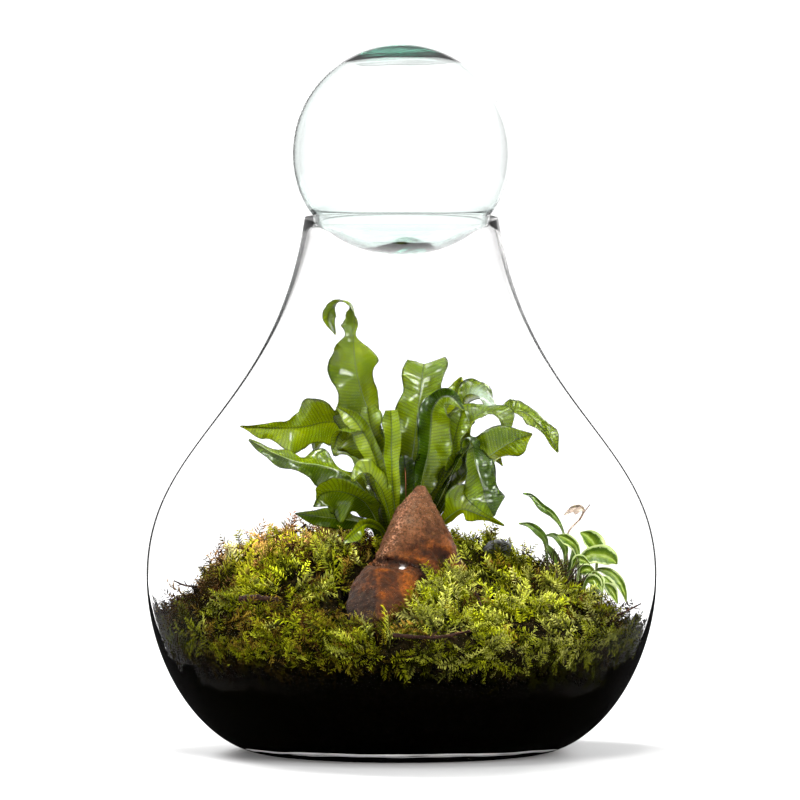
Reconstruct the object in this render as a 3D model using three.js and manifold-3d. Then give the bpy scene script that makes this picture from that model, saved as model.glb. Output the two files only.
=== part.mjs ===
// A closed glass terrarium: a pear-shaped jar with a hollow glass ball resting in its mouth,
// black potting soil, cushions of feather moss, a rust-red rock, a wavy-leaved fern and a few
// small plants and twigs. Millimetres, +Z up, origin at the centre of the jar's foot, front at -Y.
import * as THREE from "three";
import { ConvexGeometry } from "three/addons/geometries/ConvexGeometry.js";
import { mergeVertices } from "three/addons/utils/BufferGeometryUtils.js";
import Module from "manifold-3d";

const wasm = await Module();
wasm.setup();

// Driving dimensions
const FOOT_R = 80; // outer radius of the flat foot ring
const BELLY_R = 150;
const BELLY_Z = 104;
const RIM_R = 57.2;
const RIM_Z = 315;
const WALL_BELLY = 1.6;
const WALL_RIM = 5;
const BASE_GLASS = 7; // thickness of the glass under the soil
const PUNT = 1.5; // the middle of the base is raised this much
const FOOT_RING_W = 9;
const BALL_R = 64.2;
const BALL_TOP = 64.5; // height of the ball above its widest line
const BALL_DROP = 59; // depth of the ball below its widest line
const BALL_WALL = 2.2;
const BALL_POLE = 6; // the glass is thicker at the ball's two poles
const VENT_R = 1.5;
const GAP = 0.3; // what touches keeps this much clear
const STONE_ROOM = 0.5; // a stone's points are moved out this far to cut its bed
const ROUND = 40; // sides of every turned glass piece
const BED_R = 148; // radius that the planted ground is shaped over
const SOIL_EDGE = 50; // height of the soil at the glass
const SOIL_RISE = 40; // how much higher it is in the middle
const MOSS_T = 15; // thickness of the moss at the glass
const MOSS_IN_R = 16.5; // the moss starts at this radius, around the root ball
const BLADE_T = 0.7; // thickness of a leaf's blade
const FROND_STALK_R = 2.4; // radius of the hole that a frond's stalk stands in
const LEAF_STALK_R = 1.4;

// Solids

// A closed geometry as a solid, facing out.
function solid(geometry) {
  const bare = geometry.clone();
  for (const name of Object.keys(bare.attributes)) {
    if (name !== "position") bare.deleteAttribute(name);
  }
  const merged = mergeVertices(bare, 1e-4);
  const corners = merged.index.array;
  const kept = [];
  for (let i = 0; i < corners.length; i += 3) {
    const [a, b, c] = corners.slice(i, i + 3);
    if (a !== b && b !== c && a !== c) kept.push(a, b, c);
  }
  const vertProperties = new Float32Array(merged.attributes.position.array);
  const made = new wasm.Manifold(
    new wasm.Mesh({ numProp: 3, vertProperties, triVerts: new Uint32Array(kept) }),
  );
  if (made.volume() >= 0) return made;
  for (let i = 0; i < kept.length; i += 3) [kept[i], kept[i + 1]] = [kept[i + 1], kept[i]];
  return new wasm.Manifold(
    new wasm.Mesh({ numProp: 3, vertProperties, triVerts: new Uint32Array(kept) }),
  );
}

function geometryOf(made) {
  const mesh = made.getMesh();
  const count = mesh.vertProperties.length / mesh.numProp;
  const position = new Float32Array(count * 3);
  for (let i = 0; i < count; i++) {
    position.set(mesh.vertProperties.subarray(i * mesh.numProp, i * mesh.numProp + 3), i * 3);
  }
  return new THREE.BufferGeometry()
    .setAttribute("position", new THREE.BufferAttribute(position, 3))
    .setIndex(new THREE.BufferAttribute(new Uint32Array(mesh.triVerts), 1));
}

// The largest body of a solid, without the loose scraps that a cut can leave.
function largest(made) {
  return made.decompose().reduce((a, b) => (a.volume() > b.volume() ? a : b));
}

function turned(profile) {
  return solid(new THREE.LatheGeometry(profile, ROUND).rotateX(Math.PI / 2));
}

// A closed skin over rings of points: each ring joins the next, and the two end rings are capped.
function lofted(rings) {
  const size = rings[0].length;
  const position = rings.flat().flatMap((p) => [p.x, p.y, p.z]);
  const index = [];
  for (let i = 0; i + 1 < rings.length; i++) {
    for (let j = 0; j < size; j++) {
      const a = i * size + j;
      const b = i * size + ((j + 1) % size);
      index.push(a, b, a + size, b, b + size, a + size);
    }
  }
  const last = (rings.length - 1) * size;
  for (let j = 1; j + 1 < size; j++) {
    index.push(0, j + 1, j);
    index.push(last, last + j, last + j + 1);
  }
  return solid(
    new THREE.BufferGeometry()
      .setAttribute("position", new THREE.Float32BufferAttribute(position, 3))
      .setIndex(index),
  );
}

// The glass jar

const v2 = (r, z) => new THREE.Vector2(r, z);
const bowlCurve = (inset, floor) =>
  new THREE.CubicBezierCurve(
    v2(FOOT_R - inset * 2, floor),
    v2(114 - inset * 2, floor),
    v2(BELLY_R - inset, 48 + floor * 0.3),
    v2(BELLY_R - inset, BELLY_Z),
  );
const neckCurve = (inset, rimInset) =>
  new THREE.CubicBezierCurve(
    v2(BELLY_R - inset, BELLY_Z),
    v2(BELLY_R - inset, BELLY_Z + 80),
    v2(72.5 - (inset + rimInset) / 3, 200),
    v2(RIM_R - rimInset, RIM_Z),
  );
const jarOuter = [
  ...bowlCurve(0, 0).getPoints(6),
  ...neckCurve(0, 0).getPoints(8).slice(1),
];
const jarInner = [
  ...bowlCurve(WALL_BELLY, BASE_GLASS).getPoints(6),
  ...neckCurve(WALL_BELLY, WALL_RIM).getPoints(8).slice(1),
];

function jar() {
  const foot = [
    v2(0, PUNT),
    v2(FOOT_R - FOOT_RING_W - 4, PUNT),
    v2(FOOT_R - FOOT_RING_W, 0),
  ];
  return turned([...foot, ...jarOuter, ...[...jarInner].reverse(), v2(0, BASE_GLASS)]);
}

// Radius of the jar's faceted inside at height z, less the clearance, safe at the middle of a side.
function insideRadius(z) {
  const at = jarInner.findIndex((p) => p.y > z);
  const low = jarInner[Math.max(at - 1, 0)];
  const high = jarInner[Math.max(at, 1)];
  const share = THREE.MathUtils.clamp((z - low.y) / (high.y - low.y), 0, 1);
  return THREE.MathUtils.lerp(low.x, high.x, share) * Math.cos(Math.PI / ROUND) - GAP;
}

// The glass ball, seated on the inner edge of the rim, with a small vent in its lower pole

const ballSeatR = RIM_R - WALL_RIM;
const ballLine = (drop, top, r) => [
  ...new THREE.CubicBezierCurve(
    v2(0, -drop),
    v2(r * 0.6, -drop),
    v2(r, -drop * 0.6),
    v2(r, 0),
  ).getPoints(7),
  ...new THREE.EllipseCurve(0, 0, r, top, 0, Math.PI / 2).getPoints(6).slice(1),
];

function ballHeight() {
  const line = ballLine(BALL_DROP, BALL_TOP, BALL_R);
  const at = line.findIndex((p) => p.x > ballSeatR);
  const share = (ballSeatR - line[at - 1].x) / (line[at].x - line[at - 1].x);
  const seat = THREE.MathUtils.lerp(line[at - 1].y, line[at].y, share);
  return RIM_Z - seat + 2 * GAP;
}

function ball() {
  const outer = ballLine(BALL_DROP, BALL_TOP, BALL_R);
  const inner = ballLine(BALL_DROP - BALL_POLE, BALL_TOP - BALL_POLE, BALL_R - BALL_WALL);
  outer[0].x = VENT_R;
  inner[0].x = VENT_R;
  return turned([...inner.reverse(), ...outer]).translate([0, 0, ballHeight()]);
}

// The planted ground: a smooth mound of soil under cushions of moss

const bell = (x, y, x0, y0, spread) =>
  Math.exp(-((x - x0) ** 2 + (y - y0) ** 2) / (2 * spread ** 2));

// 1 in the middle of the bed, 0 at the glass
const inward = (x, y) => 1 - (x * x + y * y) / BED_R ** 2;

function soilTop(x, y) {
  return SOIL_EDGE + SOIL_RISE * inward(x, y);
}

function mossTop(x, y) {
  const thickness = MOSS_T + 14 * inward(x, y) + 8 * (x / BED_R) ** 2;
  const mounds =
    17 * bell(x, y, -64, 18, 44) +
    9 * bell(x, y, -118, 5, 34) -
    7 * bell(x, y, 126, -10, 26) +
    8 * bell(x, y, 58, 34, 34) +
    8 * bell(x, y, 72, -42, 30) -
    19 * bell(x, y, -22, -84, 22);
  const tufts =
    1.7 * Math.sin(x * 0.31 + 1.3) * Math.sin(y * 0.34 + 0.4) +
    1.1 * Math.sin(x * 0.61 + y * 0.45) * Math.sin(y * 0.57 - x * 0.2 + 2);
  return soilTop(x, y) + thickness + mounds + tufts;
}

function circle(radius, height, sides = ROUND) {
  return Array.from({ length: sides }, (_, i) => {
    const a = (i / sides) * 2 * Math.PI;
    const x = radius * Math.cos(a);
    const y = radius * Math.sin(a);
    return new THREE.Vector3(x, y, height(x, y));
  });
}

function soil() {
  const floor = BASE_GLASS + GAP;
  const heights = [0, 0.18, 0.42, 0.7, 1].map((s) => THREE.MathUtils.lerp(floor, SOIL_EDGE, s));
  const rings = heights.map((z, i) => circle(insideRadius(z) - (i ? 0 : 2), () => z));
  const edge = insideRadius(SOIL_EDGE);
  for (const share of [0.7, 0.36, 0.02]) rings.push(circle(edge * share, soilTop));
  return lofted(rings);
}

// One cushion of moss: a sector of the ground from angle a0 to a1, in degrees.
function mossCushion(a0, a1) {
  const across = Math.round((a1 - a0) / 6.5);
  const steps = 9;
  const top = [];
  const under = [];
  for (let j = 0; j <= across; j++) {
    const edge = j === 0 ? 1 : j === across ? -1 : 0;
    const turn = THREE.MathUtils.lerp(a0, a1, j / across) * THREE.MathUtils.DEG2RAD;
    const rimZ = mossTop(BED_R * Math.cos(turn), BED_R * Math.sin(turn));
    for (let i = 0; i <= steps; i++) {
      const spot = (outer) => {
        const r = THREE.MathUtils.lerp(MOSS_IN_R, outer, i / steps);
        const a = turn + (edge * GAP) / r;
        return [r * Math.cos(a), r * Math.sin(a)];
      };
      const [x, y] = spot(insideRadius(rimZ) - 1);
      const [u, v] = spot(insideRadius(SOIL_EDGE) - GAP);
      top.push(new THREE.Vector3(x, y, mossTop(x, y)));
      under.push(new THREE.Vector3(u, v, soilTop(u, v) + 2 * GAP));
    }
  }
  return sheetSolid(top, under, steps + 1);
}

// A closed solid between two alike grids of points, each with rows of the given length.
function sheetSolid(top, under, row) {
  const count = top.length;
  const rows = count / row;
  const index = [];
  for (let j = 0; j + 1 < rows; j++) {
    for (let i = 0; i + 1 < row; i++) {
      const a = j * row + i;
      index.push(a, a + 1, a + row, a + 1, a + row + 1, a + row);
      index.push(count + a, count + a + row, count + a + 1);
      index.push(count + a + 1, count + a + row, count + a + row + 1);
    }
  }
  const rim = [];
  for (let i = 0; i < row; i++) rim.push(i);
  for (let j = 1; j < rows; j++) rim.push(j * row + row - 1);
  for (let i = row - 2; i >= 0; i--) rim.push((rows - 1) * row + i);
  for (let j = rows - 2; j > 0; j--) rim.push(j * row);
  rim.forEach((a, k) => {
    const b = rim[(k + 1) % rim.length];
    index.push(a, count + a, b, b, count + a, count + b);
  });
  const position = [...top, ...under].flatMap((p) => [p.x, p.y, p.z]);
  return solid(
    new THREE.BufferGeometry()
      .setAttribute("position", new THREE.Float32BufferAttribute(position, 3))
      .setIndex(index),
  );
}

// The rock: a leaning pyramid that overhangs a lower block on its left

const ROCK_PEAK = [
  [9, -35, 157.5], [14, -36, 157], [11, -29, 154], [-2.5, -38, 145], [-13, -46, 122.5],
  [-16, -49, 116], [29.5, -44, 129], [39, -50, 108.5], [41, -48, 99], [-11, -61, 117],
  [3, -66, 114], [15, -67, 108.5], [28, -60, 105], [27, -20, 98], [-10, -22, 102], [30, -56, 92],
  [-7, -56, 99], [10, -58, 94],
];
const ROCK_BLOCK = [
  [-16, -54, 116], [-20, -56, 111.5], [-26, -61, 105.5], [-29.5, -66, 99.5], [-32, -77, 87],
  [-30, -86, 76], [-15, -73, 111], [-14.5, -92, 80], [10, -66, 107], [7, -74, 99], [-5, -88, 86],
  [-24, -56, 72], [12, -54, 82], [2, -80, 74],
];
const ROCK_HOLLOW = { at: [20, -66, 113], size: [14, 7, 4.5], tilt: 0.45 };

function rock(grow = 0) {
  const hull = (points) => {
    const places = points.map((p) => new THREE.Vector3(...p));
    const centre = places.reduce((a, b) => a.clone().add(b), new THREE.Vector3());
    centre.divideScalar(places.length);
    for (const p of places) p.addScaledVector(p.clone().sub(centre).normalize(), grow);
    return solid(new ConvexGeometry(places));
  };
  const body = hull(ROCK_PEAK).add(hull(ROCK_BLOCK));
  if (grow) return body;
  const hollow = new THREE.SphereGeometry(1, 12, 8)
    .scale(...ROCK_HOLLOW.size)
    .rotateY(ROCK_HOLLOW.tilt)
    .translate(...ROCK_HOLLOW.at);
  return largest(body.subtract(solid(hollow)));
}

// A small dark stone, half sunk in the moss behind on the right
const STONE = { at: [57, -2, 118.5], size: [9, 8, 6.5] };

function stone(grow = 0) {
  const lump = new THREE.IcosahedronGeometry(1, 1).scale(...STONE.size.map((v) => v + grow));
  const place = lump.getAttribute("position");
  for (let i = 0; i < place.count; i++) {
    const [x, y, z] = [place.getX(i), place.getY(i), place.getZ(i)];
    const dent = 1 + 0.1 * Math.sin(x * 0.5 + 1) * Math.cos(y * 0.4 + z * 0.3);
    place.setXYZ(i, x * dent, y * dent, z * dent);
  }
  return solid(lump.translate(...STONE.at));
}

// Leaves. Each station is [x, y, z, left, right, turn]: a point of the rib, the blade's half
// widths to the left and right of the way it grows, seen from the front, and its turn about the
// rib in degrees. fold lifts both margins toward the viewer, ripple waves them, as shares of the
// half width. A leaf that grows toward or away from the viewer is laid flat instead.
const FRONDS = {
  tall_left: {
    fold: 0.1, ripple: 0.22, waves: 3, shift: 0.6,
    stations: [
      [-4, 1, 121, 1.3, 1.3, 0], [-9, -1, 158, 3, 2.5, 20], [-15, -2, 182, 13, 7, 25],
      [-19.5, -3, 200, 17, 7.5, 10], [-24, -4, 214, 13, 10, 0], [-27, -4, 227, 16, 16, 0],
      [-28, -5, 238, 12, 8, 0], [-28.3, -5, 245, 4, 2, 10], [-27.6, -4, 254, 9, 3, 30],
      [-30, -2, 264, 5, 2.5, 60], [-37, 1, 265.5, 3, 3, 60], [-43.5, 2, 257, 4, 4, 20],
      [-39, 1, 246, 0.4, 0.4, 0],
    ],
  },
  left_high: {
    fold: 0.12, ripple: 0.16, waves: 2, shift: 2,
    stations: [
      [-7, 6, 120, 1.3, 1.3, 0], [-16, 8, 158, 3, 3, 20], [-24, 8, 184, 9, 7, 20],
      [-34, 6, 193, 13, 6, 10], [-46, 4, 194, 11, 17, 5], [-54, 2, 192, 11, 18, 0],
      [-60, 1, 191, 11, 8, 0], [-74, -1, 190.5, 8, 4.5, 0], [-95, -4, 191.5, 0.4, 0.4, 0],
    ],
  },
  left_mid: {
    fold: -0.3, ripple: 0.14, waves: 2.4, shift: 0,
    stations: [
      [-8, -4, 119, 1.3, 1.3, 0], [-16, -17, 142, 3, 3, 0], [-25, -26, 158, 5, 5, 0],
      [-36, -31, 165.5, 8, 3.5, 0], [-48, -33, 169, 6, 11, 0], [-59, -34, 170.5, 4.5, 10, 0],
      [-74, -35, 176, 4, 5, 0], [-88.5, -36, 184, 0.4, 0.4, 0],
    ],
  },
  left_low: {
    fold: 0.2, ripple: 0.2, waves: 1.6, shift: 3,
    stations: [
      [-9, -7, 118, 1.3, 1.3, 0], [-16, -20, 139, 2.4, 2.4, 0], [-25, -34, 150, 11, 11, 0],
      [-38, -40, 154, 14, 10, 10], [-47, -42, 152, 9, 12, 20], [-51, -44, 145, 0.6, 0.6, 30],
    ],
  },
  left_ground: {
    fold: -0.2, ripple: 0.12, waves: 2, shift: 1,
    stations: [
      [-10, 1, 117, 1.3, 1.3, 0], [-17, -5, 132, 1.6, 1.6, 0], [-28, -14, 136, 4.5, 4.5, 10],
      [-43, -21, 138, 6, 5, 20], [-62, -27, 140.5, 0.4, 0.4, 0],
    ],
  },
  left_small: {
    fold: 0.2, ripple: 0.1, waves: 1, shift: 0,
    stations: [
      [-5, -11, 117, 1.2, 1.2, 0], [-12, -23, 132, 1.8, 1.8, 0], [-21, -33, 135, 4, 4, 10],
      [-29, -38, 129, 4, 3.5, 20], [-34, -41, 124, 0.4, 0.4, 20],
    ],
  },
  front_left: {
    fold: 0.25, ripple: 0.08, waves: 2, shift: 2,
    stations: [
      [-4, -9, 120, 1.2, 1.2, 0], [-10, -16, 152, 4.5, 4, 0], [-14, -20, 169, 6, 5.5, 0],
      [-20, -22, 184, 6, 5.5, 0], [-29, -23, 197, 5, 5, 0], [-38, -23, 203, 0.4, 0.4, 0],
    ],
  },
  front_mid: {
    fold: 0.2, ripple: 0.08, waves: 1.6, shift: 0.5,
    stations: [
      [0, -10, 120, 1.2, 1.2, 0], [-5, -20, 152, 3.5, 3.5, 0], [-6, -25, 176, 5, 5, 0],
      [-6, -27, 192, 5.5, 5.5, 0], [-6.5, -27, 201, 3.5, 3.5, 0],
    ],
  },
  left_behind: {
    fold: 0.15, ripple: 0.14, waves: 1.8, shift: 1.5,
    stations: [
      [-3, -4.5, 120, 1.2, 1.2, 0], [-8, -8, 150, 3.5, 3.5, 0], [-14, -11, 176, 8, 8, 0],
      [-18, -12, 192, 7, 8, 0], [-20, -12, 203, 3, 5, 0],
    ],
  },
  front_dark: {
    fold: 0.15, ripple: 0.06, waves: 1.5, shift: 2,
    stations: [
      [2, -7, 119, 1.3, 1.3, 0], [2.2, -8.5, 131, 1.8, 1.8, 0], [2.5, -11, 145, 6, 6, 0],
      [2.5, -11.5, 157, 7.5, 8, 0], [2, -10.5, 168, 6, 6.5, 0], [1.5, -9, 174, 1.5, 1.5, 0],
    ],
  },
  centre_tall: {
    fold: 0.12, ripple: 0.08, waves: 2.6, shift: 1.2,
    stations: [
      [0.5, 5, 120, 1.3, 1.3, 0], [4, 8, 156, 3, 3, 0], [7.5, 9, 181, 8.5, 9, 0],
      [9.5, 9, 199, 12, 13, 0], [11.5, 10, 213, 11, 14, 0], [12.5, 13, 223, 10.5, 14, 0],
      [13.5, 22, 228.5, 10, 13, 0], [15, 34, 225, 8, 8, 0], [16, 44, 215, 0.5, 0.5, 0],
    ],
  },
  centre_front: {
    fold: 0.3, ripple: 0.14, waves: 2.2, shift: 0.2,
    stations: [
      [6.5, -9, 119, 1.3, 1.3, 0], [10, -16, 148, 3.5, 3.5, 0], [12.5, -19, 163, 6, 9, 0],
      [15.5, -22, 176, 8, 11, 0], [17, -24, 190, 9, 11, 0], [18, -26, 202, 8, 8, 0],
      [24, -28, 209, 5, 6, 10], [30, -30, 208, 3, 5, 20], [36, -32, 201, 0.5, 0.5, 20],
    ],
  },
  centre_back: {
    fold: 0.1, ripple: 0.15, waves: 2.4, shift: 2,
    stations: [
      [4, 11, 120, 1.3, 1.3, 0], [14, 24, 168, 6, 6, 0], [25, 32, 198, 10, 10, 0],
      [31, 35, 210, 7, 8, 0], [36, 36, 221, 0.5, 0.5, 0],
    ],
  },
  centre_right: {
    fold: 0.2, ripple: 0.16, waves: 2, shift: 0,
    stations: [
      [7.5, -3, 119, 1.3, 1.3, 0], [16, -10, 146, 3.5, 3.5, 0], [26, -16, 168, 10, 10, 0],
      [31, -18, 184, 9, 10, 0], [34, -18, 195, 5, 6, 0], [36, -17, 203, 0.6, 0.6, 0],
    ],
  },
  right_high: {
    fold: 0.12, ripple: 0.16, waves: 2.6, shift: 1,
    stations: [
      [9, 3, 120, 1.4, 1.4, 0], [22, 6, 164, 3, 3, 0], [32, 6, 194, 7, 7, 20],
      [40, 4, 206, 8, 9, 30], [47.5, 2, 208, 10, 11, 35], [56, 0, 202, 9, 7, 40],
      [64, -1, 200, 5, 4.5, 30], [72.5, -2, 199.5, 4.5, 4, 20], [79, -3, 194, 6, 5, 0],
      [85.5, -4, 187, 4.5, 4, 0], [92, -5, 176, 0.4, 0.4, 0],
    ],
  },
  right_mid: {
    fold: -0.12, ripple: 0.12, waves: 2, shift: 2.6,
    stations: [
      [10.5, -5, 117, 1.3, 1.3, 0], [26, -23, 148, 3, 3, 0], [40, -29, 167, 8, 7, 0],
      [52, -30, 175, 13, 8, 0], [61, -30, 181, 10, 9, 0], [68.5, -30, 184.5, 6, 7.5, 0],
      [76, -30, 187, 0.6, 0.6, 0],
    ],
  },
  right_dark: {
    fold: 0.15, ripple: 0.12, waves: 2, shift: 0.6,
    stations: [
      [9, -8, 118, 1.3, 1.3, 0], [24, -28, 152, 3, 3, 30], [36, -38, 176, 5, 5, 60],
      [40.5, -43, 181, 6, 6, 50], [42.5, -46, 170, 8, 8, 0], [46.5, -48, 158, 9, 11, 0],
      [49.5, -49, 147, 8, 9, 0], [53.5, -48, 139.5, 0.6, 0.6, 0],
    ],
  },
  right_low: {
    fold: -0.15, ripple: 0.12, waves: 1.8, shift: 1.4,
    stations: [
      [9, -10, 116, 1.3, 1.3, 0], [19, -22, 129, 1.8, 1.8, 0], [29, -33, 140, 5, 5, 0],
      [35, -38, 143.5, 11, 6, 0], [42, -40, 141.5, 6, 5, 0], [49, -41, 138.5, 3, 3, 0],
      [59.5, -42, 134, 0.4, 0.4, 0],
    ],
  },
  back_left: {
    fold: 0.15, ripple: 0.2, waves: 2.6, shift: 1, flat: true,
    stations: [
      [-8, 8, 118, 1.3, 1.3, 0], [-18, 26, 156, 3.2, 3.2, 0], [-32, 44, 178, 10, 11, 0],
      [-46, 58, 182, 10, 10, 0], [-57, 67, 170, 0.5, 0.5, 0],
    ],
  },
  back_low_left: {
    fold: 0.15, ripple: 0.2, waves: 2.4, shift: 2.4, flat: true,
    stations: [
      [-5, 9, 117, 1.3, 1.3, 0], [-13, 32, 144, 3, 3, 0], [-20, 56, 159, 9, 10, 0],
      [-25, 80, 154, 8, 9, 0], [-28, 93, 140, 0.5, 0.5, 0],
    ],
  },
  back_mid: {
    fold: 0.15, ripple: 0.2, waves: 2.8, shift: 2, flat: true,
    stations: [
      [0, 11, 119, 1.3, 1.3, 0], [1, 36, 160, 3.5, 3.5, 0], [0, 58, 186, 11, 12, 0],
      [-4, 79, 186, 11, 10, 0], [-8, 93, 172, 0.5, 0.5, 0],
    ],
  },
  back_low_right: {
    fold: 0.15, ripple: 0.2, waves: 2.4, shift: 0.6, flat: true,
    stations: [
      [5, 10, 117, 1.3, 1.3, 0], [13, 36, 146, 3, 3, 0], [17, 60, 160, 9, 10, 0],
      [20, 84, 155, 9, 8, 0], [22, 98, 141, 0.5, 0.5, 0],
    ],
  },
  back_right: {
    fold: 0.15, ripple: 0.2, waves: 2.6, shift: 0, flat: true,
    stations: [
      [8, 8, 118, 1.3, 1.3, 0], [21, 28, 156, 3, 3, 0], [37, 45, 176, 10, 10, 0],
      [51, 57, 179, 10, 9, 0], [61, 64, 167, 0.5, 0.5, 0],
    ],
  },
};

const SMALL_LEAVES = {
  slender_a: [
    [97, 2, 88, 0.6, 0.6, 0], [95.5, 0, 128, 0.6, 0.6, 0], [89, -2, 139.3, 1.8, 1.8, 0],
    [82.5, -4, 144, 2.4, 1.8, 0], [76, -4, 150.5, 1.2, 1.2, 0], [71.5, -4, 151.8, 0.4, 0.4, 0],
  ],
  slender_b: [
    [90, -6, 92, 0.6, 0.6, 0], [85.5, -8, 113, 0.6, 0.6, 0], [84.3, -8, 125, 1.8, 1.8, 0],
    [80, -9, 130, 2.4, 2.2, 0], [75, -9, 133.2, 1.6, 1.6, 0], [68.8, -9, 134.3, 0.4, 0.4, 0],
  ],
  slender_c: [
    [97, -12, 88, 0.6, 0.6, 0], [95.6, -14, 113, 0.6, 0.6, 0], [96, -15, 119, 2, 1.6, 0],
    [93.2, -16, 124, 2.4, 2, 0], [89, -16, 127.5, 1.6, 1.6, 0], [84.5, -16, 127.6, 0.4, 0.4, 0],
  ],
  striped_a: [
    [100, -21, 86, 0.6, 0.6, 0], [103.5, -23, 112, 0.6, 0.6, 0], [101.5, -25, 121.5, 3, 2, 0],
    [96, -26, 126, 3.8, 3, 0], [91, -26, 128, 0.5, 0.5, 0],
  ],
  striped_b: [
    [111, -4, 84, 0.6, 0.6, 0], [115, -5, 114, 1, 1, 0], [113.5, -6, 121.5, 5, 6, 0],
    [109.5, -7, 126.5, 5, 5, 0], [105, -8, 129, 0.6, 0.6, 0],
  ],
  striped_c: [
    [108, -15, 84, 0.6, 0.6, 0], [104.5, -18, 112, 1.5, 1.5, 0], [110, -20, 116, 5, 5, 0],
    [117.5, -21, 116, 6, 5.5, 0], [123, -21, 114, 4, 4, 0], [126, -21, 111, 0.4, 0.4, 0],
  ],
  striped_d: [
    [114, -8, 83, 0.6, 0.6, 0], [114, -14, 107, 0.8, 0.8, 0], [121, -16, 106, 2.6, 2.6, 0],
    [127, -17, 101, 2.8, 2.8, 0], [130, -18, 94.5, 2, 2, 0], [131.5, -18, 87.5, 0.4, 0.4, 0],
  ],
  striped_e: [
    [110, -20, 84, 0.6, 0.6, 0], [112, -24, 106, 1, 1, 0], [115, -28, 101, 3.2, 3.2, 0],
    [117, -31, 94.5, 0.4, 0.4, 0],
  ],
  striped_f: [
    [117, -14, 82, 0.6, 0.6, 0], [118, -22, 103, 1, 1, 0], [122, -25, 97, 3.2, 3.2, 0],
    [124, -26, 89.5, 0.4, 0.4, 0],
  ],
  dry_sprig: [
    [101, 8, 88, 0.6, 0.6, 0], [98.5, 8, 128, 0.5, 0.5, 0], [106, 8, 137, 0.5, 0.5, 0],
    [107.5, 8, 142, 0.8, 0.8, 0], [101, 6, 143.5, 3.4, 1.6, 30], [96, 4, 139, 0.4, 0.4, 30],
  ],
};
const SMALL_BEND = { fold: 0.25, ripple: 0.1, waves: 1.5, shift: 0 };

// The rib's line, its half widths and turn, and the way each side of a leaf points.
function leafLines({ stations, flat = false }) {
  const rib = new THREE.CatmullRomCurve3(stations.map(([x, y, z]) => new THREE.Vector3(x, y, z)));
  const form = new THREE.CatmullRomCurve3(
    stations.map(([, , , left, right, turn]) => new THREE.Vector3(left, right, turn)),
  );
  const depth = flat ? new THREE.Vector3(0, 0, -1) : new THREE.Vector3(0, 1, 0);
  return (t) => {
    const [left, right, turn] = form.getPoint(t).toArray();
    const along = rib.getTangent(t);
    const across = along.clone().cross(depth).normalize();
    const front = along.clone().cross(across);
    const side = across.clone().applyAxisAngle(along, -turn * THREE.MathUtils.DEG2RAD);
    front.applyAxisAngle(along, -turn * THREE.MathUtils.DEG2RAD);
    return { at: rib.getPoint(t), left: Math.max(left, 0.4), right: Math.max(right, 0.4), side, front };
  };
}

function blade(spec, perStation, across, ribT) {
  const line = leafLines(spec);
  const steps = perStation * (spec.stations.length - 1);
  const grid = [];
  for (let i = 0; i <= steps; i++) {
    const { at, left, right, side, front } = line(i / steps);
    for (const v of across) {
      const half = v > 0 ? left : right;
      const phase = 2 * Math.PI * spec.waves * (i / steps) + spec.shift + (v > 0 ? 2.3 : 0);
      const lift = Math.abs(v) * half * (spec.fold + Math.abs(v) * spec.ripple * Math.sin(phase));
      grid.push(at.clone().addScaledVector(side, v * half).addScaledVector(front, lift));
    }
  }
  const row = across.length;
  const top = [];
  const under = [];
  grid.forEach((p, k) => {
    const [i, j] = [Math.floor(k / row), k % row];
    const ahead = grid[Math.min(i + 1, steps) * row + j];
    const behind = grid[Math.max(i - 1, 0) * row + j];
    const before = grid[i * row + Math.max(j - 1, 0)];
    const after = grid[i * row + Math.min(j + 1, row - 1)];
    const normal = after.clone().sub(before).cross(ahead.clone().sub(behind)).normalize();
    const thick = across[j] ? BLADE_T : THREE.MathUtils.lerp(ribT, BLADE_T, i / steps);
    top.push(p.clone().addScaledVector(normal, thick / 2));
    under.push(p.clone().addScaledVector(normal, -thick / 2));
  });
  return sheetSolid(top, under, row);
}

// A tube along points, for sockets, twigs and stems.
function tube(points, radius, sides = 5, steps = 8) {
  const curve = new THREE.CatmullRomCurve3(points.map((p) => new THREE.Vector3(...p)));
  const shape = new THREE.Shape(
    Array.from({ length: sides }, (_, i) => {
      const a = (i / sides) * 2 * Math.PI;
      return new THREE.Vector2(radius * Math.cos(a), radius * Math.sin(a));
    }),
  );
  return solid(new THREE.ExtrudeGeometry(shape, { steps, extrudePath: curve }));
}

// The plain hole that a leaf's stalk stands in, from below its foot up through the ground.
function stalkHole({ stations }, radius) {
  const rib = new THREE.CatmullRomCurve3(stations.map(([x, y, z]) => new THREE.Vector3(x, y, z)));
  const points = [rib.getPoint(0).addScaledVector(rib.getTangent(0), -2 * GAP)];
  for (let t = 0.04; t < 0.7; t += 0.04) {
    const p = rib.getPoint(t);
    points.push(p);
    if (p.z > mossTop(p.x, p.y) + 4) break;
  }
  return tube(points.map((p) => p.toArray()), radius, 5, 2);
}

// The fern's root ball, a dark lump of root and leaf bases

const ROOT_BALL = [[14, 91.5], [15.5, 104], [15, 116], [12, 123], [6, 126], [0.6, 127]];

function rootBall() {
  const rings = ROOT_BALL.map(([r, z]) =>
    circle(r, () => z, 16).map((p) => {
      const lump = 0.97 + 0.03 * Math.sin(5 * Math.atan2(p.y, p.x) + r);
      return p.setX(p.x * lump).setY(p.y * lump);
    }),
  );
  return lofted(rings);
}

// Twigs and bark, lying half sunk in the moss

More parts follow.
